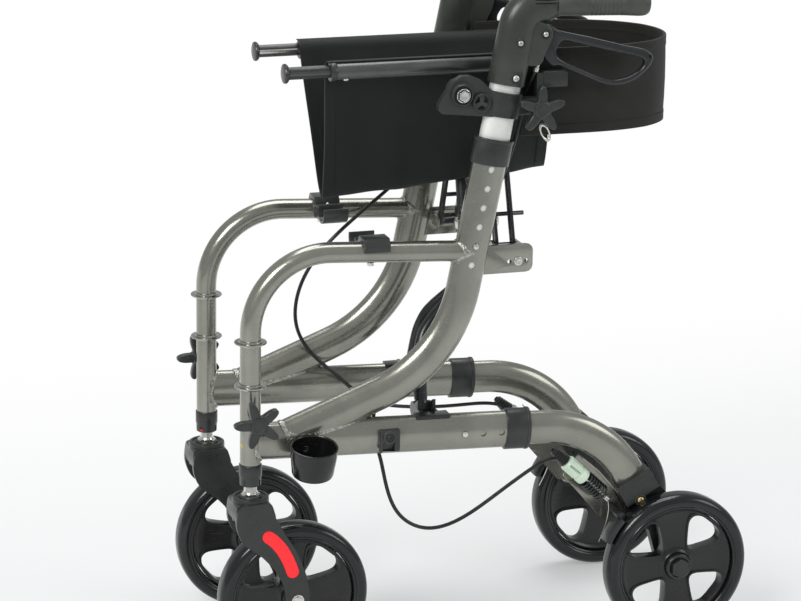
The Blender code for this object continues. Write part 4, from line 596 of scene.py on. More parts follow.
# Handle tubes and snap buttons. The sliding inner tube is bare satin aluminium, held by a sprung
# steel button that stands in one of the upright's holes. The rear tube has the same button.
bare_aluminium = new_finish("satin_aluminium", (0.84, 0.85, 0.81), (0.96, 0.97, 0.93),
                            0.45, 0.45, 30.0, 1200.0, 0.000015, 0.12, 90.0)
for side, sign, plane in SIDES:
    body = f"{side}_handle"
    tube = drawn_tube(plane, [upright_at(0.1270), upright_at(0.425)], [], 0.0418, 0.0258, 48, WALL)
    soften(tube, 0.0)
    settle(tube, f"{side}_handle_inner_tube", bare_aluminium, body, (f"{side}_handle_tube",))
    for button, hole in (("handle_button", upright_at(0.1588)), ("rear_button", lower_at(0.2865))):
        turned(mm([(0, 3), (4, 3), (4, 15.8), (3.6, 16.7), (2.4, 17.2), (0, 17.3)]),
               outward(sign, *hole, 0.0), f"{side}_{button}_pin", bright_steel, f"{side}_{button}_body",
               (f"{side}_{button}",), steps=32)


# Handle shells. A dark olive-grey moulded elbow in two halves, screwed together, covers the end of
# the inner tube and carries the grip and the brake lever's pivot.
handle_plastic = new_finish("handle_moulding", (0.029, 0.0330, 0.0275),
                            (0.046, 0.0515, 0.0435), 0.30, 0.0, 22.0, 1500.0, 0.00003, 0.08)
screw_zinc = new_finish("satin_zinc_screw", (0.48, 0.49, 0.46), (0.78, 0.79, 0.75), 0.34, 0.9,
                        120.0, 1500.0, 0.00001)
GRIP_PITCH = radians(2)
corner = Vector(upright_at(0.468 / cos(UPRIGHT_LEAN)))
ahead = Vector((cos(GRIP_PITCH), -sin(GRIP_PITCH)))
shell_screws = mm([(28.5, 822.2, 18, 3.6), (23.2, 777, 18.4, 4.4), (64.47, 831, 12, 3.6)])


def prism(outline, thickness, place):
    """Flat piece of an even thickness, centred on its own plane."""
    deselect()
    bpy.ops.mesh.primitive_circle_add(vertices=len(outline), radius=0.01, fill_type="NGON")
    piece = bpy.context.object
    for vertex, (across, up) in zip(piece.data.vertices, outline):
        vertex.co = (across, up, -thickness / 2)
    edit_all()
    bpy.ops.mesh.extrude_region_move(TRANSFORM_OT_translate={"value": (0.0, 0.0, thickness)})
    bpy.ops.mesh.select_all(action="SELECT")
    leave_edit()
    piece.data.transform(place)
    return piece


def rounded(points, reach, steps=5):
    """An outline with its corners eased, each corner running the reach along both its edges."""
    eased = []
    for index, point in enumerate(points):
        corner_point = Vector(point)
        before, after = Vector(points[index - 1]), Vector(points[(index + 1) % len(points)])
        first = corner_point.lerp(before, min(0.45, reach / max((before - corner_point).length, 1e-6)))
        last = corner_point.lerp(after, min(0.45, reach / max((after - corner_point).length, 1e-6)))
        for step in range(steps + 1):
            share = step / steps
            eased.append(tuple(first.lerp(corner_point, share).lerp(corner_point.lerp(last, share), share)))
    return eased


def in_side_view(sign, offset):
    """Place for an outline drawn in X and Z, on a plane outboard by the offset."""
    return Matrix(((1, 0, 0, 0), (0, 0, -1, sign * (HALF_SPACING + offset)), (0, 1, 0, 0), (0, 0, 0, 1)))


for side, sign, plane in SIDES:
    body = f"{side}_handle"
    shell = drawn_tube(plane, [upright_at(0.372), tuple(corner), tuple(corner + 0.0435 * ahead)], [0.035],
                       0.050, 0.038, 56, 0.0, radians(5), 0.84)
    carve(shell, drawn_tube(plane, [upright_at(0.36), upright_at(0.3765)], [], 0.0424, 0.0264, 48))
    for z in (0.8718, 0.8762):
        carve(shell, block((0.0620, plane + sign * 0.0205, z), (0.029, 0.012, 0.0015),
                           (0.0, GRIP_PITCH, 0.0)))
    settle(soften(shell, 0.0007), f"{side}_elbow_shell", handle_plastic, body, (f"{side}_handle_shell",))

    cheek_line = mm([(38, 853), (60.5, 846.5), (71.5, 840.5), (75.5, 831), (72.5, 821), (65.5, 808),
                     (61, 793), (52, 789), (36, 792)])
    cheek_line = rounded(cheek_line, 0.006, 4)
    for cheek_name, offset in (("outer_cheek", 0.0093), ("inner_cheek", -0.0093)):
        cheek = prism(cheek_line, 0.0066, in_side_view(sign, offset))
        settle(soften(cheek, 0.0018, 3), f"{side}_{cheek_name}", handle_plastic, body)
    for number, (x, z, offset, radius) in enumerate(shell_screws):
        turned([(0.0, 0.0), (radius * 1.72, 0.0), (radius * 1.74, 0.0012), (radius * 1.60, 0.0019),
                (radius * 1.40, 0.0018), (radius * 1.24, 0.0006), (0.0, 0.0006)],
               outward(sign, x, z, offset), f"{side}_shell_well_{number + 1}", black_plastic, body,
               steps=32)
        pan_screw(outward(sign, x, z, offset + 0.0003), radius * 1.05, f"{side}_shell_screw_{number + 1}",
                  screw_zinc, body)


# Grips. Soft grey rubber pushed on the shell's core, with a flange in front, fine finger ribs along
# its lower half and a rounded closed end.
grip_rubber = new_finish("grip_rubber", (0.046, 0.049, 0.041), (0.066, 0.070, 0.060), 0.48,
                         0.0, 40.0, 700.0, 0.00012, 0.0)
grip_section = mm([(8.8, 6.5), (17.2, 6.5), (18, 7.4), (18.2, 9.2), (17.8, 11.2), (16.9, 12.5), (16.6, 15),
                   (16.5, 50)])
for rib in range(8):
    start = 0.0530 + rib * 0.0056
    grip_section += [(0.0165, start), (0.0159, start + 0.0006), (0.0159, start + 0.0017),
                     (0.0165, start + 0.0023)]
grip_section += mm([(16.8, 105), (17.5, 120), (17.4, 126.2), (16.6, 130.6), (14.9, 133.3), (11.4, 134.6),
                    (0, 135), (0, 128.5), (8.8, 128.2)])
for side, _, plane in SIDES:
    neck = corner + 0.037 * ahead
    turn = Matrix.Rotation(pi / 2 + GRIP_PITCH, 4, "Y")
    turned(grip_section, Matrix.Translation((neck.x, plane, neck.y)) @ turn, f"{side}_rubber_grip",
           grip_rubber, f"{side}_handle", (f"{side}_grip",), steps=56, angle=radians(50))
    core = cross_bar(0.0084, 0.0, 0.0, -0.05, 0.05)
    core.data.transform(
        Matrix.Translation((neck.x + 0.03, plane, neck.y - 0.001)) @ Matrix.Rotation(GRIP_PITCH, 4, "Y")
        @ Matrix.Rotation(pi / 2, 4, "Z") @ core.matrix_world)
    core.matrix_world = Matrix()
    settle(soften(core, 0.0), f"{side}_grip_core", handle_plastic, f"{side}_handle")


# Brake levers. A die-cast loop with a rounded section, black powder coated, on a pin through the
# shell's cheeks. Its cable leaves below through a small threaded ferrule.
lever_pivot = Vector((0.06447, 0.831))
lever_line = mm(
    [(-5.5, 4), (0.8, 10.8), (10, 9.8), (22, 1.2), (63.3, -8.6), (114.6, -22.4), (137.5, -27.2),
     (149, -31.8), (152.2, -40), (149, -48), (140, -58), (127.2, -67.4), (113.5, -72.2), (94.2, -73.2),
     (80.3, -69.4), (46.8, -54.2), (21.9, -42.2), (12, -44), (3.5, -35), (-5.5, -14)])
lever_gap = mm([(25, -10.5), (36, -12.5), (80.2, -24.8), (124, -35.2), (138.5, -40.5), (140.5, -46.5),
                (133.7, -55.6), (118, -64), (99.5, -66.8), (78.7, -61.2), (30, -39), (19.5, -32),
                (17.2, -22.8)])
for side, sign, plane in SIDES:
    line = [tuple(lever_pivot + Vector(point)) for point in lever_line]
    gap = [tuple(lever_pivot + Vector(point)) for point in lever_gap]
    lever = prism(rounded(line, 0.0070, 5), 0.011, in_side_view(sign, 0.0))
    carve(lever, prism(rounded(gap, 0.0060, 5), 0.03, in_side_view(sign, 0.0)))
    soften(lever, 0.0030, 4)
    carve(lever, cross_bar(0.0020, 0.2105, 0.7935, sign * 0.10, sign * 0.13))
    soften(lever, 0.0)
    settle(lever, f"{side}_lever_loop", black_metal, f"{side}_brake_lever_body", (f"{side}_brake_lever",))
    turned(mm([(0, 0), (2.8, 0), (3.6, 1), (3.6, 6), (2.6, 6.6), (2.6, 15), (0, 15)]),
           Matrix.Translation((0.0558, plane, 0.7802)) @ Matrix.Rotation(radians(20), 4, "Y"),
           f"{side}_cable_ferrule", bright_steel, f"{side}_handle", steps=24)


# Handle clamps. A black nylon ring grips the inner tube. In front it carries the backrest bracket
# with its zinc bolt and a small spoked wheel, and behind it the screw of the star knob. A wire hook
# behind the tube holds the strap.
bracket = (-0.04658, 0.75804)
small_wheel = (-0.02088, 0.74714)
for side, sign, _ in SIDES:
    body = f"{side}_handle"
    clamp = dressed(f"{side}_clamp_collar", 0.0)
    for third in range(3):
        start = pi / 2 + third * 2 * pi / 3
        window = [(0.0026 * cos(start + pi / 3), 0.0026 * sin(start + pi / 3))]
        window += [(0.0090 * cos(start + share), 0.0090 * sin(start + share))
                   for share in (0.35, 0.75, 1.30, 1.70)]
        window = [(small_wheel[0] + across, small_wheel[1] + up) for across, up in window]
        carve(clamp, prism(rounded(window, 0.0015, 3), 0.008, in_side_view(sign, 0.0130)))
    settle(soften(clamp, 0.0012, 3), f"{side}_clamp_body", black_plastic, body, (f"{side}_clamp_collar",))
    hex_bolt(outward(sign, *bracket, 0.0185), 0.0072, 0.0038, f"{side}_bracket_bolt", bright_steel, body)
    turned(mm([(10, 0), (14.6, 0), (14.6, 4.4), (13.8, 5.8), (12.2, 5.8), (11.4, 4.4), (10, 3)]),
           outward(sign, *bracket, 0.0110), f"{side}_bracket_boss", black_plastic, body, steps=48)
    turned(mm([(9.4, 0), (12, 0), (12.2, 3.6), (11.5, 4.8), (10.1, 4.8), (9.4, 3.6)]),
           outward(sign, *small_wheel, 0.0128), f"{side}_wheel_rim", black_plastic, body, steps=48)
    deselect()
    bpy.ops.mesh.primitive_torus_add(major_segments=40, minor_segments=12, major_radius=0.0070,
                                     minor_radius=0.0017, location=(0.0, 0.0, 0.0))
    hook = bpy.context.object
    hook.data.transform(Matrix.Translation((0.0652, sign * (HALF_SPACING + 0.0160), 0.7040))
                        @ Matrix.Rotation(radians(-27), 4, "Y") @ Matrix.Diagonal((0.72, 1, 1.60, 1))
                        @ Matrix.Rotation(pi / 2, 4, "X"))
    settle(soften(hook, 0.0), f"{side}_strap_hook", bright_steel, body)


# Star knobs. Five rounded points moulded in black nylon round a steel screw, with a plain disc in
# the middle. One model serves the handle clamps and the head tubes.
deselect()
bpy.ops.mesh.primitive_cylinder_add(vertices=100, radius=0.02, depth=0.011)
star = bpy.context.object
for vertex in star.data.vertices:
    angle = atan2(vertex.co.y, vertex.co.x)
    point = (0.5 + 0.5 * cos(5 * (angle - pi / 2))) ** 1.45
    reach = 0.0126 + 0.0194 * point
    vertex.co.x, vertex.co.y = reach * cos(angle), reach * sin(angle)
soften(star, 0.0024, 4)
disc = spun(mm([(0, -11.5), (10, -11.5), (10.4, -10), (11.2, 5), (10.8, 6.8), (9.6, 7.5), (8, 7.5),
                (7.4, 6.8), (0, 6.8)]), Matrix(), 40)
soften(disc, 0.0)
stem = spun(mm([(0, -33), (3.8, -33), (3.8, -10), (0, -10)]), Matrix(), 24)
soften(stem, 0.0)


def copied(model, place):
    """A copy of a model piece, set in its place."""
    piece = linked(model.name, model.data.copy())
    piece.data.transform(place)
    return piece


for side, sign, _ in SIDES:
    for knob, x, z, offset, turn in (("front_knob", HEAD_X, 0.349, 0.038, 0.30),
                                     ("handle_knob", 0.05602, 0.736643, 0.026, -0.02)):
        place = outward(sign, x, z, offset) @ Matrix.Rotation(turn, 4, "Z")
        for part, model, finish, stands in (("star", star, black_plastic, (f"{side}_{knob}",)),
                                            ("disc", disc, black_plastic, ()),
                                            ("screw", stem, bright_steel, ())):
            settle(copied(model, place), f"{side}_{knob}_{part}", finish, f"{side}_{knob}_body", stands)
for model in (star, disc, stem):
    bpy.data.objects.remove(model)


# Folding brace. Two arms of oval steel bar in black powder coat cross behind each other, swept back
# at their middle and riveted together there. Each runs from a foot to the far side's seat rail.
def bent_bar(points, radius, rings=8, order=3, squash=1.0, turns=6):
    """Round bar along a smooth line through its points, with closed ends."""
    deselect()
    bpy.ops.curve.primitive_nurbs_path_add()
    line = bpy.context.object
    spline = line.data.splines[0]
    spline.points.add(len(points) - len(spline.points))
    for knot, point in zip(spline.points, points):
        knot.co = (*point, 1.0)
    spline.order_u = order
    spline.use_endpoint_u = True
    spline.resolution_u = rings
    line.data.bevel_depth = radius
    line.data.bevel_resolution = turns
    line.data.use_fill_caps = True
    line.data.twist_mode = "MINIMUM"
    bpy.ops.object.convert(target="MESH")
    bar = bpy.context.object
    edit_all()
    bpy.ops.mesh.remove_doubles(threshold=0.000001)
    leave_edit()
    if squash != 1.0:
        bar.data.transform(Matrix.Diagonal((1.0, squash, 1.0, 1.0)))
    return bar


def rod_between(start, end, radius, sides=32, place=Matrix()):
    """Round bar from one point to another, in a place of its own."""
    start, end = Vector(start), Vector(end)
    deselect()
    bpy.ops.mesh.primitive_cylinder_add(
        vertices=sides, radius=radius, depth=(end - start).length, location=(start + end) / 2,
        rotation=(end - start).to_track_quat("Z", "Y").to_euler())
    bpy.ops.object.transform_apply(location=True, rotation=True, scale=True)
    bpy.context.object.data.transform(place)
    return bpy.context.object


arm_line = mm([(0, 0), (63, 1.5), (94, 9), (110, 18.5), (131, 40), (152, 62), (178, 75.5), (210, 79.5),
               (241, 80), (300, 80.5), (400, 82), (471.5, 82)])
BRACE_HALF = 0.072
RAIL_HEIGHT = 0.785
rise = RAIL_HEIGHT - 0.325
arm_length = hypot(rise, 2 * BRACE_HALF)
for arm_name, body, foot_sign, foot_x, with_rivet in (("front_brace_arm", "front_arm", -1.0, -0.076, True),
                                                      ("rear_brace_arm", "rear_arm", 1.0, -0.046, False)):
    stand = Matrix.Translation((foot_x, foot_sign * BRACE_HALF, 0.325))
    stand = stand @ Matrix.Rotation(foot_sign * atan2(2 * BRACE_HALF, rise), 4, "X")
    arm = bent_bar([(sweep, 0.0, up) for up, sweep in arm_line], 0.009, squash=0.0075 / 0.009)
    eye = rod_between((-0.0078, 0.0, 0.0), (0.0078, 0.0, 0.0), 0.0102)
    carve(arm, eye, "UNION")
    for start, end in ((0.0078, 0.030), (-0.030, -0.0078)):
        carve(arm, rod_between((start, 0.0, -0.004), (end, 0.0, -0.004), 0.0175))
    carve(arm, rod_between((-0.03, 0.0, 0.0), (0.03, 0.0, 0.0), 0.0043))
    middle = 0.0799
    hub = rod_between((middle - 0.0088, 0.0, arm_length / 2), (middle + 0.0088, 0.0, arm_length / 2), 0.0158)
    carve(arm, hub, "UNION")
    arm.data.transform(stand)
    cradle = rod_between((-0.12, -foot_sign * BRACE_HALF, RAIL_HEIGHT),
                         (0.12, -foot_sign * BRACE_HALF, RAIL_HEIGHT), 0.0118)
    carve(arm, cradle)
    settle(soften(arm, 0.0006), f"{arm_name}_bar", black_metal, body, (arm_name,))
    if with_rivet:
        turned(mm([(0, -13.5), (6, -13.5), (8.4, -12), (9, -9.2), (4, -8.8), (4, 40), (9, 40.2), (8.6, 44),
                   (6.2, 46.2), (0, 46.6)]), stand @ Matrix.Translation((middle, 0.0, arm_length / 2))
               @ Matrix.Rotation(pi / 2, 4, "Y"), "brace_rivet", bright_steel, body, steps=40)


# Upper links. Each is two flat bars on one pin, tied part way up by a rod that also stands out
# behind, and they hold the arms level as the brace opens. Black powder coated steel.
for side, _, _ in SIDES:
    link = dressed(f"{side}_upper_link", 0.0007)
    settle(link, f"{side}_link_bars", black_metal, f"{side}_link", (f"{side}_upper_link",))


# Seat rails. Glossy black anodised tube along the top of each brace arm. A nylon plug with four
# lengthwise ribs and a mushroom end fills its front, behind a short collar.
rail_gloss = new_finish("black_anodised_rail", (0.085, 0.088, 0.085), (0.120, 0.124, 0.120),
                        0.33, 0.75, 30.0, 1100.0, 0.00001, 0.18, 80.0, coat=0.2)
for side, sign, body in (("left", -1.0, "rear_arm"), ("right", 1.0, "front_arm")):
    base = Matrix.Translation((-0.206, sign * BRACE_HALF, RAIL_HEIGHT)) @ Matrix.Rotation(pi / 2, 4, "Y")
    turned(mm([(9.8, 8.5), (11.5, 8.5), (11.5, 304.8), (11, 305.6), (10, 306), (9.8, 305.2), (9.8, 280),
               (0, 280), (0, 20), (9.8, 20)]), base, f"{side}_rail_tube", rail_gloss, body,
           (f"{side}_seat_rail",), steps=56)
    turned(mm([(0, 0), (11.8, 0), (12.8, 1), (12.8, 7.2), (12, 8.4), (0, 8.6)]), base,
           f"{side}_rail_collar", black_plastic, body, steps=48)
    fins = []
    for corner_number in range(4):
        turn = corner_number * pi / 2 + pi / 4
        for spread, reach in ((-0.30, 0.0086), (0.30, 0.0086), (pi / 4, 0.0040)):
            fins.append((reach * cos(turn + spread), reach * sin(turn + spread)))
    shaft = prism(fins, 0.056, base @ Matrix.Translation((0.0, 0.0, -0.0275)))
    settle(soften(shaft, 0.0005), f"{side}_plug_shaft", black_plastic, body)
    # The right plug's core is bright zinc, a painted reflection of the white sky between its ribs; the left
    # one's is rail black.
    core = rod_between((0.0, 0.0, -0.0550), (0.0, 0.0, 0.0), 0.0070, 32, base)
    soften(core, 0.0)
    settle(core, f"{side}_plug_core", bright_steel if side == "right" else rail_gloss, body)
    turned(mm([(0, -54.5), (6, -54.5), (10.8, -55.2), (12.5, -57), (12.8, -59), (12, -60.6), (9, -61.6),
               (0, -62)]), base, f"{side}_plug_end", black_plastic, body, steps=48)
    for number, x in enumerate((-0.185, 0.066)):
        under = Matrix.Translation((x, sign * BRACE_HALF, RAIL_HEIGHT))
        under = under @ Matrix.Rotation(sign * 0.35, 4, "X")
        pan_screw(under @ Matrix.Translation((0.0, 0.0, -0.0112)) @ Matrix.Rotation(pi, 4, "X"), 0.0036,
                  f"{side}_rail_screw_{number + 1}", bright_steel, body)


# Rear tubes. The same painted oval tube, one size smaller, slides in the lower tube and curves down
# to the rear axle.
for side, sign, plane in SIDES:
    tube = drawn_tube(plane, [lower_at(0.272), lower_at(0.481), (0.213427, 0.205143)], [0.145], 0.0458,
                      0.0258, 48, WALL, radians(3))
    soften(tube, 0.0)
    drill(tube, 0.0043, *lower_at(0.2865), plane, plane + sign * 0.02)
    settle(tube, f"{side}_rear_bend", frame_paint, f"{side}_rear_leg", (f"{side}_rear_tube",))


# Rear housings. A graphite moulded socket closes on the end of the tube and reaches down to the
# axle; a painted channel inboard shelters the brake's spring. A yellow zinc screw pins the socket.
graphite = new_finish("graphite_moulding", (0.015, 0.0168, 0.0158),
                      (0.026, 0.0284, 0.0268), 0.28, 0.0, 28.0, 1400.0, 0.00003, 0.10)
AXLE_REACH = 0.2635
AXLE_HEIGHT = 0.100
yellow_zinc = new_finish("yellow_zinc", (0.42, 0.33, 0.16), (0.62, 0.52, 0.30), 0.34, 1.0, 260.0,
                         1500.0, 0.00001)
for side, sign, _ in SIDES:
    body = f"{side}_rear_leg"
    housing = dressed(f"{side}_rear_housing", 0.0)
    sheet_room = mm([(110, 262), (165, 262), (180.3, 209), (196, 181.2), (230, 160), (215, 130), (150, 130)])
    carve(housing, prism(sheet_room, 0.0080, in_side_view(sign, -0.0148)))
    settle(soften(housing, 0.0028, 3), f"{side}_rear_casting", graphite, body, (f"{side}_rear_housing",))
    sheet_line = mm([(113.7, 225.8), (136, 253), (158, 234.5), (196.5, 190), (214.5, 168), (204.5, 141.5),
                     (184, 144), (174, 156.2)])
    sheet = prism(rounded(sheet_line, 0.004, 3), 0.0030, in_side_view(sign, -0.0125))
    fold = mm([(136, 253), (158, 234.5), (196.5, 190), (195.3, 189), (157, 233.4), (135.2, 251.8)])
    carve(sheet, prism(fold, 0.0200, in_side_view(sign, -0.0040)), "UNION")
    settle(soften(sheet, 0.0004), f"{side}_brake_channel", frame_paint, body)
    turned(mm([(0, 0), (8.2, 0), (8.2, 0.8), (7.4, 1.2), (6.4, 0.8), (6, 0.2), (0, 0.2)]),
           outward(sign, 0.2155, 0.1905, 0.0176), f"{side}_socket_well", black_plastic, body, steps=36)
    pan_screw(outward(sign, 0.2155, 0.1905, 0.0178), 0.0052, f"{side}_socket_screw", yellow_zinc, body)
    turned(mm([(13.8, 0), (17, 0), (17.2, 1.6), (16.5, 2.4), (14.5, 2.4), (13.8, 1.8)]),
           outward(sign, AXLE_REACH, AXLE_HEIGHT, 0.0442), f"{side}_axle_ring", black_plastic, body,
           steps=56)


# Brake adjusters and springs. The cable ends in a corrugated boot and a pale nylon barrel. From it a
# bright rod runs through a black return spring to the shoe, and the cut cable's tail hangs below.
mint_nylon = new_finish("mint_nylon", (0.64, 0.78, 0.62), (0.74, 0.88, 0.71), 0.40, 0.0,
                        30.0, 900.0, 0.00002, 0.05)
for side, sign, plane in SIDES:
    body = f"{side}_rear_leg"
    heading = Vector((0.729, 0.0, -0.685)).normalized()
    middle = Vector((0.1265, plane, 0.2365))
    along_barrel = Matrix.Translation(middle) @ heading.to_track_quat("Z", "Y").to_matrix().to_4x4()
    barrel = spun(mm([(0, 19.5), (9.2, 19.5), (11, 17.8), (11, 9.8), (10.1, 9), (10.1, 6.4), (11, 5.4),
                      (11, -15), (9.8, -16.6), (7, -19), (0, -19)]), along_barrel, 48)
    for flute in range(10):
        angle = flute * pi / 5
        x, y = 0.0121 * cos(angle), 0.0121 * sin(angle)
        carve(barrel, rod_between((x, y, -0.0135), (x, y, 0.0042), 0.0019, 12, along_barrel))
    settle(soften(barrel, 0.0002), f"{side}_adjuster_barrel", mint_nylon, body, (f"{side}_brake_adjuster",))
    folds = [(0.0027, -0.0185)]
    for fold_number in range(6):
        start = -0.0190 - fold_number * 0.0040
        reach = 0.0092 - 0.0006 * fold_number
        folds += [(reach - 0.0026, start), (reach, start - 0.0010), (reach, start - 0.0018),
                  (reach - 0.0026, start - 0.0028)]
    folds += [(0.0038, -0.0440), (0.0027, -0.0440)]
    turned(folds, along_barrel, f"{side}_cable_boot", black_plastic, body, steps=36, angle=radians(60))
    coil = [(0.0106 * cos(2 * pi * step / 12), 0.0106 * sin(2 * pi * step / 12), 0.0218
             + 0.0335 * step / 84) for step in range(85)]
    spring = bent_bar(coil, 0.0015, 2, 3, 1.0, 3)
    spring.data.transform(along_barrel)
    soften(spring, 0.0, angle=radians(70))
    settle(spring, f"{side}_return_spring", black_metal, body, (f"{side}_brake_spring",))
    rod = rod_between((0.0, 0.0, 0.0170), (0.0, 0.0, 0.0640), 0.0016, 24, along_barrel)
    settle(soften(rod, 0.0003), f"{side}_pull_rod", bright_steel, body)
    turned(mm([(0, 60), (3.6, 60), (4.2, 60.6), (4.2, 67.2), (3.6, 68), (0, 68)]), along_barrel,
           f"{side}_cable_nipple", bright_steel, body, steps=24)
    tail = bent_bar([(0.174, plane, 0.1915), (0.177, plane, 0.184), (0.1765, plane, 0.168),
                     (0.172, plane + sign * 0.001, 0.150), (0.163, plane + sign * 0.003, 0.131)], 0.0006, 6,
                    3, 1.0, 2)
    settle(soften(tail, 0.0), f"{side}_wire_tail", bright_steel, body)
    shoe = dressed(f"{side}_brake_shoe", 0.0006)
    settle(shoe, f"{side}_shoe_pad", black_metal, f"{side}_brake_shoe_body", (f"{side}_brake_shoe",))


# Caster forks. One black nylon moulding: a round crown over the spindle's bearing and two flat legs
# that sweep back to the axle, with a red reflector let into the outer leg.
fork_plastic = new_finish("fork_moulding", (0.0195, 0.0224, 0.0206),
                          (0.0335, 0.0380, 0.0352), 0.29, 0.0, 25.0, 1300.0, 0.00003, 0.12)
reflector_red = new_finish("red_reflector", (0.72, 0.006, 0.010), (0.92, 0.014, 0.020),
                           0.30, 0.0, 420.0, 900.0, 0.00012, 0.0, coat=0.2)
# The reflector's faint red emission is painted light, standing for the light it sends back.
feed(reflector_red.node_tree, reflector_red.node_tree.nodes["Principled BSDF"],
     {"Emission Color": (1.0, 0.012, 0.020, 1), "Emission Strength": 0.35})
leg_line = mm([(-343.5, 236), (-346.5, 208), (-337.5, 184), (-314.5, 168), (-295.5, 147), (-281.5, 122)])
leg_line += [(-AXLE_REACH + 0.0165 * cos(radians(a)), AXLE_HEIGHT + 0.0165 * sin(radians(a)))
             for a in range(180, 361, 20)]
leg_line += mm([(-251, 132), (-265, 168), (-283.5, 198), (-296, 222), (-301.5, 238)])
leg_line = rounded(leg_line, 0.010, 4)
crown_line = rounded(mm([(-344.5, 236.5), (-345.7, 210), (-330.5, 207.5), (-296.5, 208.5), (-291.5, 215),
                         (-298, 236.5)]), 0.006, 4)
glow_start, glow_turn, glow_end = (
    Vector(point) for point in mm([(-303, 191.5), (-282, 176.5), (-270.5, 140.5)]))
glow_middle = []
for k in range(11):
    first, last = glow_start.lerp(glow_turn, k / 10), glow_turn.lerp(glow_end, k / 10)
    glow_middle.append(first.lerp(last, k / 10))


def band_outline(middle, half):
    """Outline of a curved strip with round ends about its middle line."""
    run = [(b - a).normalized() for a, b in zip(middle, middle[1:])]
    run.append(run[-1])
    aside = [Vector((-r.y, r.x)) * half for r in run]
    edge = [m + a for m, a in zip(middle, aside)]
    for turn in range(20, 180, 20):
        edge.append(middle[-1] + Matrix.Rotation(-radians(turn), 2) @ aside[-1])
    edge += [m - a for m, a in reversed(list(zip(middle, aside)))]
    for turn in range(20, 180, 20):
        edge.append(middle[0] + Matrix.Rotation(-radians(turn), 2) @ -aside[0])
    return [tuple(e) for e in edge]


for side, sign, plane in SIDES:
    body = f"{side}_caster"
    fork = prism(crown_line, 0.047, in_side_view(sign, 0.0))
    for direction in (-1, 1):
        carve(fork, prism(leg_line, 0.007, in_side_view(sign, direction * 0.0235)), "UNION")
    carve(fork, spun(mm([(0, 208.5), (20.5, 208), (24, 210), (24.2, 239), (23.6, 241.2), (22.2, 242),
                         (19.6, 242), (19, 240), (15, 239.2), (14.2, 242), (0, 242)]),
                     Matrix.Translation((HEAD_X, plane, 0.0)), 56), "UNION")
    soften(fork, 0.0030, 4)
    carve(fork, prism(band_outline(glow_middle, 0.0086), 0.004, in_side_view(sign, 0.0280)))
    settle(soften(fork, 0.0), f"{side}_fork_body", fork_plastic, body, (f"{side}_caster_fork",))
    glow = prism(band_outline(glow_middle, 0.0083), 0.0018, in_side_view(sign, 0.02665))
    settle(soften(glow, 0.0006, 3), f"{side}_reflector", reflector_red, body)
    turned(mm([(0, 240), (12.5, 240.2), (12.5, 244), (10.2, 245.2), (9.2, 247.5), (8.5, 249), (8.5, 326),
               (7.5, 327), (0, 327)]), Matrix.Translation((HEAD_X, plane, 0.0)), f"{side}_spindle",
           bright_steel, body, steps=40)
    axle = cross_bar(0.0048, -AXLE_REACH, AXLE_HEIGHT, plane - 0.0262, plane + 0.0262)
    settle(soften(axle, 0.0003), f"{side}_front_axle", bright_steel, body)
    hex_bolt(outward(sign, -AXLE_REACH, AXLE_HEIGHT, 0.0272), 0.0066, 0.0040, f"{side}_front_axle_head",
             bright_steel, body)
    hex_bolt(Matrix.Translation((-AXLE_REACH, sign * (HALF_SPACING - 0.0272), AXLE_HEIGHT))
             @ Matrix.Rotation(sign * pi / 2, 4, "X"), 0.0066, 0.0045, f"{side}_front_axle_nut",
             bright_steel, body)


# Wheels. All four are alike: a black nylon centre with four broad spokes between lipped windows,
# and a smooth tyre of glossy black polyurethane pressed on it.
rim_plastic = new_finish("rim_moulding", (0.0062, 0.0070, 0.0060), (0.0115, 0.0126, 0.0110),
                         0.27, 0.0, 24.0, 1200.0, 0.00004, 0.12)
tyre_rubber = new_finish("tyre_polyurethane", (0.0055, 0.0064, 0.0070),
                         (0.0098, 0.0112, 0.0120), 0.15, 0.0, 34.0, 1300.0, 0.00001, 0.22, 90.0)
flank = mm([(79.6, 11.2), (80, 13.8), (81.2, 15.1), (83, 15.7), (83.7, 15.1), (84.4, 15.7), (87, 16.8),
            (90, 17), (93, 16.4), (95.7, 14.9), (97.9, 12.4), (99.3, 9.2), (99.9, 6), (100, 3)])
tyre_section = flank + [(r, -h) for r, h in reversed(flank)]
half_rim = mm([(5.3, 18), (16, 18), (17.6, 17), (18, 15), (18.4, 10.5), (21.5, 7.8), (26, 6.8), (60, 6.6),
               (71, 7), (74.5, 8.4), (76.5, 10), (78.8, 9.6)])
rim_section = half_rim + [(r, -h) for r, h in reversed(half_rim)]
window = [(0.0285, -9), (0.046, -21), (0.063, -25), (0.0715, -21), (0.0750, -12), (0.0750, 12),
          (0.0715, 21), (0.063, 25), (0.046, 21), (0.0285, 9)]
tyre_model = spun(tyre_section, Matrix(), 96)
soften(tyre_model, 0.0, angle=radians(50))
rim_model = spun(rim_section, Matrix(), 72)
for quarter in (50, 140, 230, 320):
    line = [(r * cos(radians(a + quarter)), r * sin(radians(a + quarter))) for r, a in window]
    middle = Vector((0.052 * cos(radians(quarter)), 0.052 * sin(radians(quarter))))
    lip = [tuple(middle + (Vector(point) - middle) * 1.12) for point in line]
    carve(rim_model, prism(rounded(lip, 0.008, 4), 0.0182, Matrix()), "UNION")
    carve(rim_model, prism(rounded(line, 0.008, 4), 0.060, Matrix()))
soften(rim_model, 0.0012, 3)
for side, sign, _ in SIDES:
    quarter_turn = Matrix.Rotation(-pi / 2 if side == "right" else 0.0, 4, "Z")
    for end, x, offset in (("front", -AXLE_REACH, 0.0), ("rear", AXLE_REACH, 0.026)):
        place = outward(sign, x, AXLE_HEIGHT, offset) @ quarter_turn
        for part, model, finish in (("rim", rim_model, rim_plastic), ("tyre", tyre_model, tyre_rubber)):
            settle(copied(model, place), f"{side}_{end}_wheel_{part}", finish, f"{side}_{end}_wheel",
                   (f"{side}_{end}_{part}",))
for model in (rim_model, tyre_model):
    bpy.data.objects.remove(model)


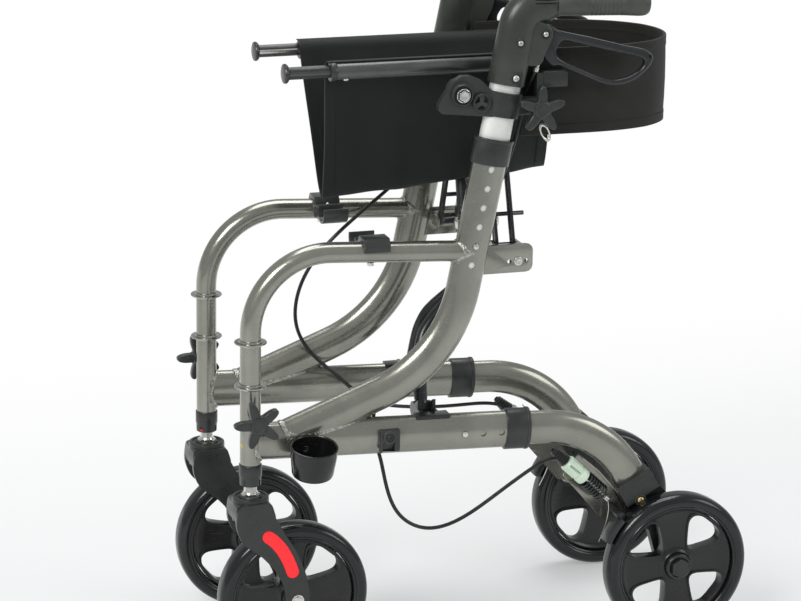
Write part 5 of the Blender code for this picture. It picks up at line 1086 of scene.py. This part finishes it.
# Cane cup. A glossy black moulded cup bolted to the outer face of the near lower tube, open above,
# with a rolled rim.
cup_gloss = new_finish("cup_moulding", (0.0050, 0.0058, 0.0052), (0.0090, 0.0100, 0.0092),
                       0.20, 0.0, 20.0, 1000.0, 0.00001, 0.2, 70.0)
turned(mm([(0, 279.2), (20.5, 279.2), (23.2, 280), (24.3, 282.2), (27.8, 316.5), (28.3, 318), (29.2, 318.7),
           (30.4, 318.4), (30.9, 317.2), (30.6, 315.5), (30.2, 306), (27, 280), (26, 277.8), (23.6, 276.6),
           (0, 276.6)]), Matrix.Translation((-0.249, -0.1608, 0.3010))
       @ Matrix.Rotation(radians(11), 4, "X") @ Matrix.Translation((0.0, 0.0, -0.3010)), "cane_cup_shell",
       cup_gloss, "left_frame", ("cane_cup",), steps=72, angle=radians(50))
hex_bolt(outward(-1.0, -0.252, 0.3050, 0.0178), 0.0046, 0.0030, "cup_bolt", bright_steel, "left_frame")


# Brake cables. Black vinyl outer cable, five millimetres thick, in two lengths that part at the clip
# on the lower tube: the upper one comes down from the ferrule under the lever, behind the upright,
# and the lower one runs on to the adjuster's boot. Each point is x, height and distance inboard.
cable_vinyl = new_finish("cable_vinyl", (0.006, 0.006, 0.0065), (0.012, 0.012, 0.0125),
                         0.28, 0.0, 60.0, 900.0, 0.00001, 0.1)
lever_end = [(60, 792, 0), (55.8, 781, 1.5), (53, 772, 4.5), (51, 757, 13), (48, 738, 16.5)]
boot_end = [(106, 255.8, 0), (112, 250.1, 0)]
near_route = [(40, 700, 16.5), (26, 655, 15.5), (8, 605, 17), (-12, 555, 18.5), (-32, 500, 18.5),
              (-52, 450, 18.5), (-90, 410, 18.5), (-132, 375, 18.5), (-152, 335, 18.5), (-150, 298, 18.5),
              (-142, 277, 10), (-139, 245, 0), (-129, 208, -2), (-109, 184, -3), (-81, 172, -3),
              (-51, 175, -3), (-17, 190, -2), (27, 219, 0), (64, 243, 0), (88, 255.5, 0)]
far_route = [(34, 700, 16.5), (4, 655, 20), (-40, 613, 24), (-84, 577, 26), (-132, 540, 26),
             (-170, 505, 26), (-196, 467, 26), (-207, 424, 26), (-200, 386, 26), (-172, 350, 24),
             (-140, 325, 21.5), (-118, 300, 19.5), (-90, 279, 16), (-40, 268, 8), (10, 262, 2),
             (55, 262, 0), (85, 262, 0)]
clip_places = ((-0.150, 0.298), (-0.118, 0.300))
for (side, sign, plane), route, (clip_x, clip_z) in zip(SIDES, (near_route, far_route), clip_places):
    route = mm(lever_end + route + boot_end)
    deselect()
    bpy.ops.curve.primitive_nurbs_path_add()
    guide = bpy.context.object
    spline = guide.data.splines[0]
    spline.points.add(len(route) - len(spline.points))
    for knot, (x, z, inset) in zip(spline.points, route):
        knot.co = (x, sign * (HALF_SPACING - inset), z, 1.0)
    spline.order_u = 4
    spline.use_endpoint_u = True
    spline.resolution_u = 6
    bpy.ops.object.convert(target="MESH")
    guide = bpy.context.object
    line = [guide.matrix_world @ vertex.co for vertex in guide.data.vertices]
    bpy.data.objects.remove(guide)
    parting = min(range(len(line)), key=lambda k: hypot(line[k].x - clip_x, line[k].z - clip_z))
    for part, run, first_body, last_body, start, end in (
            ("upper", line[:parting + 1], f"{side}_handle", f"{side}_frame", (0.05, plane, 0.76),
             (0.05, plane, 0.42)),
            ("lower", line[parting:], f"{side}_frame", f"{side}_rear_leg", (-0.09, plane, 0.25),
             (0.08, plane, 0.25))):
        cable = bent_bar(run, 0.0025, 1, 2, 1.0, 5)
        settle(soften(cable, 0.0), f"{side}_cable_{part}", cable_vinyl, None, (f"{side}_brake_cable",))
        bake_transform(cable)


# Seat sling. Coated woven polyester hangs in a fold between the two rails, screwed along their inner
# sides. Its front and rear edges are turned over and sewn.
weave, weave_in, weave_out = new_group("weave", (("Threads Per Metre", 1400.0),), ("Height", "Tone"))


def weave_step(operation, *terms):
    return add_node(weave, "Math", dict(enumerate(terms)), operation).outputs[0]


weave_split = add_node(weave, "SeparateXYZ", {0: weave_in["Vector"]})
threads = [weave_step("MULTIPLY", weave_split.outputs[axis], weave_in["Threads Per Metre"])
           for axis in ("X", "Y")]
humps = [weave_step("ABSOLUTE", weave_step("SINE", weave_step("MULTIPLY", thread, pi)))
         for thread in threads]
crossings = weave_step("ADD", weave_step("FLOOR", threads[0]), weave_step("FLOOR", threads[1]))
over = weave_step("MODULO", weave_step("ABSOLUTE", crossings), 2.0)
warp_up = weave_step("MULTIPLY", humps[0], over)
weft_up = weave_step("MULTIPLY", humps[1], weave_step("SUBTRACT", 1.0, over))
# Tone: random fibre mottling, plus a painted highlight on the crowns of the raised warp threads, darker
# where they dip.
fibre = add_node(weave, "TexNoise", {"Vector": weave_in["Vector"], "Scale": 24.0, "Detail": 6.0})
fibre_tone = weave_step("MULTIPLY", fibre.outputs["Fac"], 0.75)
warp_crown_highlight = weave_step("MULTIPLY", warp_up, 0.35)
feed(weave, weave_out, {"Height": weave_step("ADD", warp_up, weft_up),
                        "Tone": weave_step("ADD", fibre_tone, warp_crown_highlight)})


def new_cloth(name, dark, light, roughness, threads_per_metre, relief_depth, sheen):
    """Woven cloth whose threads follow the piece's own UV map, in metres."""
    material = new_material(name)
    tree = material.node_tree
    place = add_node(tree, "UVMap", {})
    place.uv_map = "cut"
    cloth = add_node(tree, "Group", {})
    cloth.node_tree = weave
    feed(tree, cloth, {"Vector": place.outputs["UV"], "Threads Per Metre": threads_per_metre})
    gloss = add_node(tree, "MapRange", {"Value": cloth.outputs["Height"], "To Min": roughness + 0.08,
                                        "To Max": roughness - 0.08})
    relief = add_node(tree, "Bump", {"Distance": relief_depth, "Height": cloth.outputs["Height"]})
    feed(tree, tree.nodes["Principled BSDF"],
         {"Base Color": two_tone(tree, cloth.outputs["Tone"], dark, light), "Roughness": gloss.outputs[0],
          "Specular IOR Level": 0.28, "Sheen Weight": sheen, "Sheen Roughness": 0.5,
          "Normal": relief.outputs[0]})
    return material


def cloth_grid(name, place_of, size_along, size_across, along, across, thickness):
    """Sheet of cloth given by a function of two shares, with its flat measures as its UV map."""
    mesh = bpy.data.meshes.new(name)
    work = bmesh.new()
    grid = [[work.verts.new(place_of(i / along, j / across)) for j in range(across + 1)]
            for i in range(along + 1)]
    chart = work.loops.layers.uv.new("cut")
    for i in range(along):
        for j in range(across):
            face = work.faces.new((grid[i][j], grid[i + 1][j], grid[i + 1][j + 1], grid[i][j + 1]))
            face.smooth = True
            for loop, (a, b) in zip(face.loops, ((i, j), (i + 1, j), (i + 1, j + 1), (i, j + 1))):
                loop[chart].uv = (a / along * size_along, b / across * size_across)
    work.to_mesh(mesh)
    work.free()
    piece = linked(name, mesh)
    pick(piece)
    solid = piece.modifiers.new("cloth", "SOLIDIFY")
    solid.thickness = thickness
    solid.offset = 0.0
    bpy.ops.object.modifier_apply(modifier=solid.name)
    bpy.ops.object.shade_smooth_by_angle(angle=radians(50))
    return piece


def stitched(name, marks, half_long, half_wide, half_high):
    """Rows of thread stitches, each a small six-sided lozenge along its seam."""
    mesh = bpy.data.meshes.new(name)
    work = bmesh.new()
    for spot, heading, face_out in marks:
        aside = heading.cross(face_out).normalized()
        ends = [work.verts.new(spot + heading * half_long * way) for way in (-1, 1)]
        ring = [work.verts.new(spot + aside * half_wide * a + face_out * half_high * b)
                for a, b in ((1, 0), (0, 1), (-1, 0), (0, -1))]
        for k in range(4):
            work.faces.new((ends[0], ring[k], ring[(k + 1) % 4]))
            work.faces.new((ends[1], ring[(k + 1) % 4], ring[k]))
    bmesh.ops.recalc_face_normals(work, faces=work.faces)
    work.to_mesh(mesh)
    work.free()
    piece = linked(name, mesh)
    soften(piece, 0.0)
    return piece


sling_cloth = new_cloth("sling_polyester", (0.0050, 0.0062, 0.0060), (0.0125, 0.0150, 0.0145),
                        0.60, 900.0, 0.00018, 0.05)
thread_black = new_finish("black_thread", (0.012, 0.012, 0.013), (0.030, 0.030, 0.031), 0.55,
                          0.0, 400.0, 3000.0, 0.00002, 0.0)
sling_half = 0.1915
wrap_share = 0.052


def sling_place(u, v, lift=0.0):
    """Point of the sling: u from front to rear, v from the near rail over the fold to the far one."""
    t = 2 * v - 1
    side_sign = -1.0 if t < 0 else 1.0
    reach = abs(t)
    bottom = 0.600 + 0.026 * u
    hang = min(reach / (1 - 2 * wrap_share), 1.0)
    rise = (hypot(hang, 0.14) - 0.14) / (hypot(1.0, 0.14) - 0.14)
    x = -0.208 + 0.306 * u + 0.016 * (1 - hang)
    z = bottom + (0.783 - bottom) * rise
    away = min(abs(u - 0.48) / 0.16, 1.0)
    crease = 0.0040 * sin(2 * pi * (2.1 * u + 0.22 * t)) + 0.0022 * sin(2 * pi * (4.3 * u - 0.5 * t) + 1.3)
    crease += 0.0020 * sin(2 * pi * (1.2 * u + 1.4 * reach) + 0.6)
    wave = crease * (1 - hang * hang) * away
    y = side_sign * (0.0583 * hang + lift) + wave
    if reach > 1 - 2 * wrap_share:
        turn = (reach - 1 + 2 * wrap_share) / (2 * wrap_share) * radians(118) - radians(8)
        y = side_sign * (BRACE_HALF - (0.0131 + lift) * cos(turn))
        z = RAIL_HEIGHT + (0.0131 + lift) * sin(turn)
    return Vector((x, y, z))


sling = cloth_grid("seat_sling_cloth", sling_place, 0.306, 2 * sling_half, 72, 110, 0.0014)
settle(sling, "seat_sling_cloth", sling_cloth, None, ("seat_sling",))
hems, marks = [], []
for end, first in (("front", 0.0), ("rear", 1.0)):
    inner = 0.045 if end == "front" else 0.955
    for lining, lift in (("outer", 0.00115), ("inner", -0.00115)):
        def hem_place(u, v, first=first, inner=inner, lift=lift):
            return sling_place(first + (inner - first) * u, 0.055 + 0.89 * v, lift)

        hem = cloth_grid(f"sling_hem_{end}_{lining}", hem_place, 0.0138, 0.340, 4, 96, 0.0009)
        settle(hem, f"sling_hem_{end}_{lining}", sling_cloth, None)
        hems.append(hem)
    for row in (0.10, 0.90):
        u = first + (inner - first) * row
        for step in range(92):
            v = 0.06 + 0.88 * step / 91
            for lift in (0.00175, -0.00175):
                spot = sling_place(u, v, lift)
                heading = (sling_place(u, v + 0.002, lift) - spot).normalized()
                over_edge = (sling_place(u + 0.01, v, lift) - spot).normalized()
                marks.append((spot, heading, heading.cross(over_edge).normalized()))
sling_stitches = stitched("sling_stitches", marks, 0.00135, 0.00030, 0.00026)
settle(sling_stitches, "sling_stitches", thread_black, None)
for piece in (sling, *hems, sling_stitches):
    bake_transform(piece)


# Backrest strap. A padded band of brown-black woven nylon runs from one handle clamp round behind
# the user to the other, hemmed and double sewn along its top and bottom edges.
strap_cloth = new_cloth("strap_nylon", (0.0085, 0.0078, 0.0064), (0.0195, 0.0185, 0.0155),
                        0.68, 760.0, 0.00022, 0.08)
half_route = mm([(45, 93.5), (90, 94), (165, 89.5), (222, 73.5), (256, 48.5), (270, 23.5)])
strap_knots = [Vector((x, -y)) for x, y in half_route] + [Vector((0.274, 0.0))]
strap_knots += [Vector((x, y)) for x, y in reversed(half_route)]
strap_line = []
for index in range(len(strap_knots) - 1):
    before = strap_knots[max(index - 1, 0)]
    start, stop = strap_knots[index], strap_knots[index + 1]
    after = strap_knots[min(index + 2, len(strap_knots) - 1)]
    for step in range(8):
        f = step / 8
        strap_line.append(
            0.5 * (2 * start + (stop - before) * f + (2 * before - 5 * start + 4 * stop - after) * f * f
                   + (3 * start - 3 * stop + after - before) * f * f * f))
strap_line.append(strap_knots[-1])
strap_length = sum((b - a).length for a, b in zip(strap_line, strap_line[1:]))
band = mm([(0, 1.2), (0.8, 2.1), (7, 2.1), (12.5, 2.1), (13.2, 1.4), (30, 1.8), (57, 2), (84, 1.8),
           (100.8, 1.4), (101.5, 2.1), (107, 2.1), (113.2, 2.1), (114, 1.2)])
STRAP_FOOT = 0.692
STRAP_HEIGHT = 0.114
strap_mesh = bpy.data.meshes.new("backrest_strap")
work = bmesh.new()
chart = work.loops.layers.uv.new("cut")


def strap_wave(share):
    """How far the strap sags, and ripples at its middle, at a share of its length."""
    return 0.0030 * sin(pi * share) ** 2, 0.0009 * sin(2 * pi * (5.0 * share + 0.2))


rows, travelled, run = [], 0.0, []
for index, point in enumerate(strap_line):
    behind_point = strap_line[max(index - 1, 0)]
    travelled += (point - behind_point).length
    run.append(travelled)
    forward = (strap_line[min(index + 1, len(strap_line) - 1)] - behind_point).normalized()
    sag, ripple = strap_wave(travelled / strap_length)
    row = []
    for height, half in [*band, *((height, -half) for height, half in reversed(band))]:
        off = half + ripple * sin(pi * height / STRAP_HEIGHT)
        spot = (point.x + forward.y * off, point.y - forward.x * off, STRAP_FOOT + height - sag)
        row.append((work.verts.new(spot), height))
    rows.append(row)
for index in range(len(rows) - 1):
    for k in range(len(rows[0])):
        n = (k + 1) % len(rows[0])
        corners = (rows[index][k], rows[index + 1][k], rows[index + 1][n], rows[index][n])
        face = work.faces.new([corner[0] for corner in corners])
        alongs = (run[index], run[index + 1], run[index + 1], run[index])
        for loop, along, (_, height) in zip(face.loops, alongs, corners):
            loop[chart].uv = (along, height)
for row in (rows[0], rows[-1]):
    cap = work.faces.new([vertex for vertex, _ in row])
    for loop, (_, height) in zip(cap.loops, row):
        loop[chart].uv = (0.0, height)
bmesh.ops.recalc_face_normals(work, faces=work.faces)
work.to_mesh(strap_mesh)
work.free()
strap = linked("backrest_strap", strap_mesh)
soften(strap, 0.0, angle=radians(40))
settle(strap, "backrest_strap", strap_cloth, None, ("left_backrest_strap", "right_backrest_strap"))
marks = []
step_at = 0.006
for index in range(1, len(strap_line)):
    start, stop = strap_line[index - 1], strap_line[index]
    while step_at < run[index]:
        spot = start.lerp(stop, (step_at - run[index - 1]) / max(run[index] - run[index - 1], 1e-9))
        forward = (stop - start).normalized()
        sag, ripple = strap_wave(step_at / strap_length)
        heading = Vector((forward.x, forward.y, 0.0))
        face_out = Vector((forward.y, -forward.x, 0.0))
        for height in (0.0026, 0.0108, 0.1032, 0.1114):
            for way in (-1, 1):
                off = way * 0.0021 + ripple * sin(pi * height / STRAP_HEIGHT)
                mark = Vector((spot.x + forward.y * off, spot.y - forward.x * off, STRAP_FOOT
                               + height - sag))
                marks.append((mark, heading, face_out))
        step_at += 0.0042
strap_stitches = stitched("strap_stitches", marks, 0.00150, 0.00034, 0.00030)
settle(strap_stitches, "strap_stitches", thread_black, None)
for piece in (strap, strap_stitches):
    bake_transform(piece)


# Small marks. A dab of yellow paint at the near head tube and one of red at the far collar, put on
# by hand when the front joints were checked.
for side, sign, name, colour, place in (
        ("left", -1.0, "yellow_dot", (0.75, 0.55, 0.05), (-0.3330, -0.1208, 0.3120)),
        ("right", 1.0, "red_dot", (0.70, 0.03, 0.03), (-0.3305, 0.1045, 0.2600))):
    dot_paint = new_finish(name + "_paint", tuple(0.8 * c for c in colour), colour, 0.4, 0.0,
                           300.0)
    direction = Vector((place[0] - HEAD_X, place[1] - sign * HALF_SPACING, 0.0)).normalized()
    turned(mm([(0, -0.4), (2.1, -0.4), (1.9, 0.3), (0, 0.5)]), Matrix.Translation(place)
           @ direction.to_track_quat("Z", "Y").to_matrix().to_4x4(), name, dot_paint, f"{side}_frame",
           steps=20)
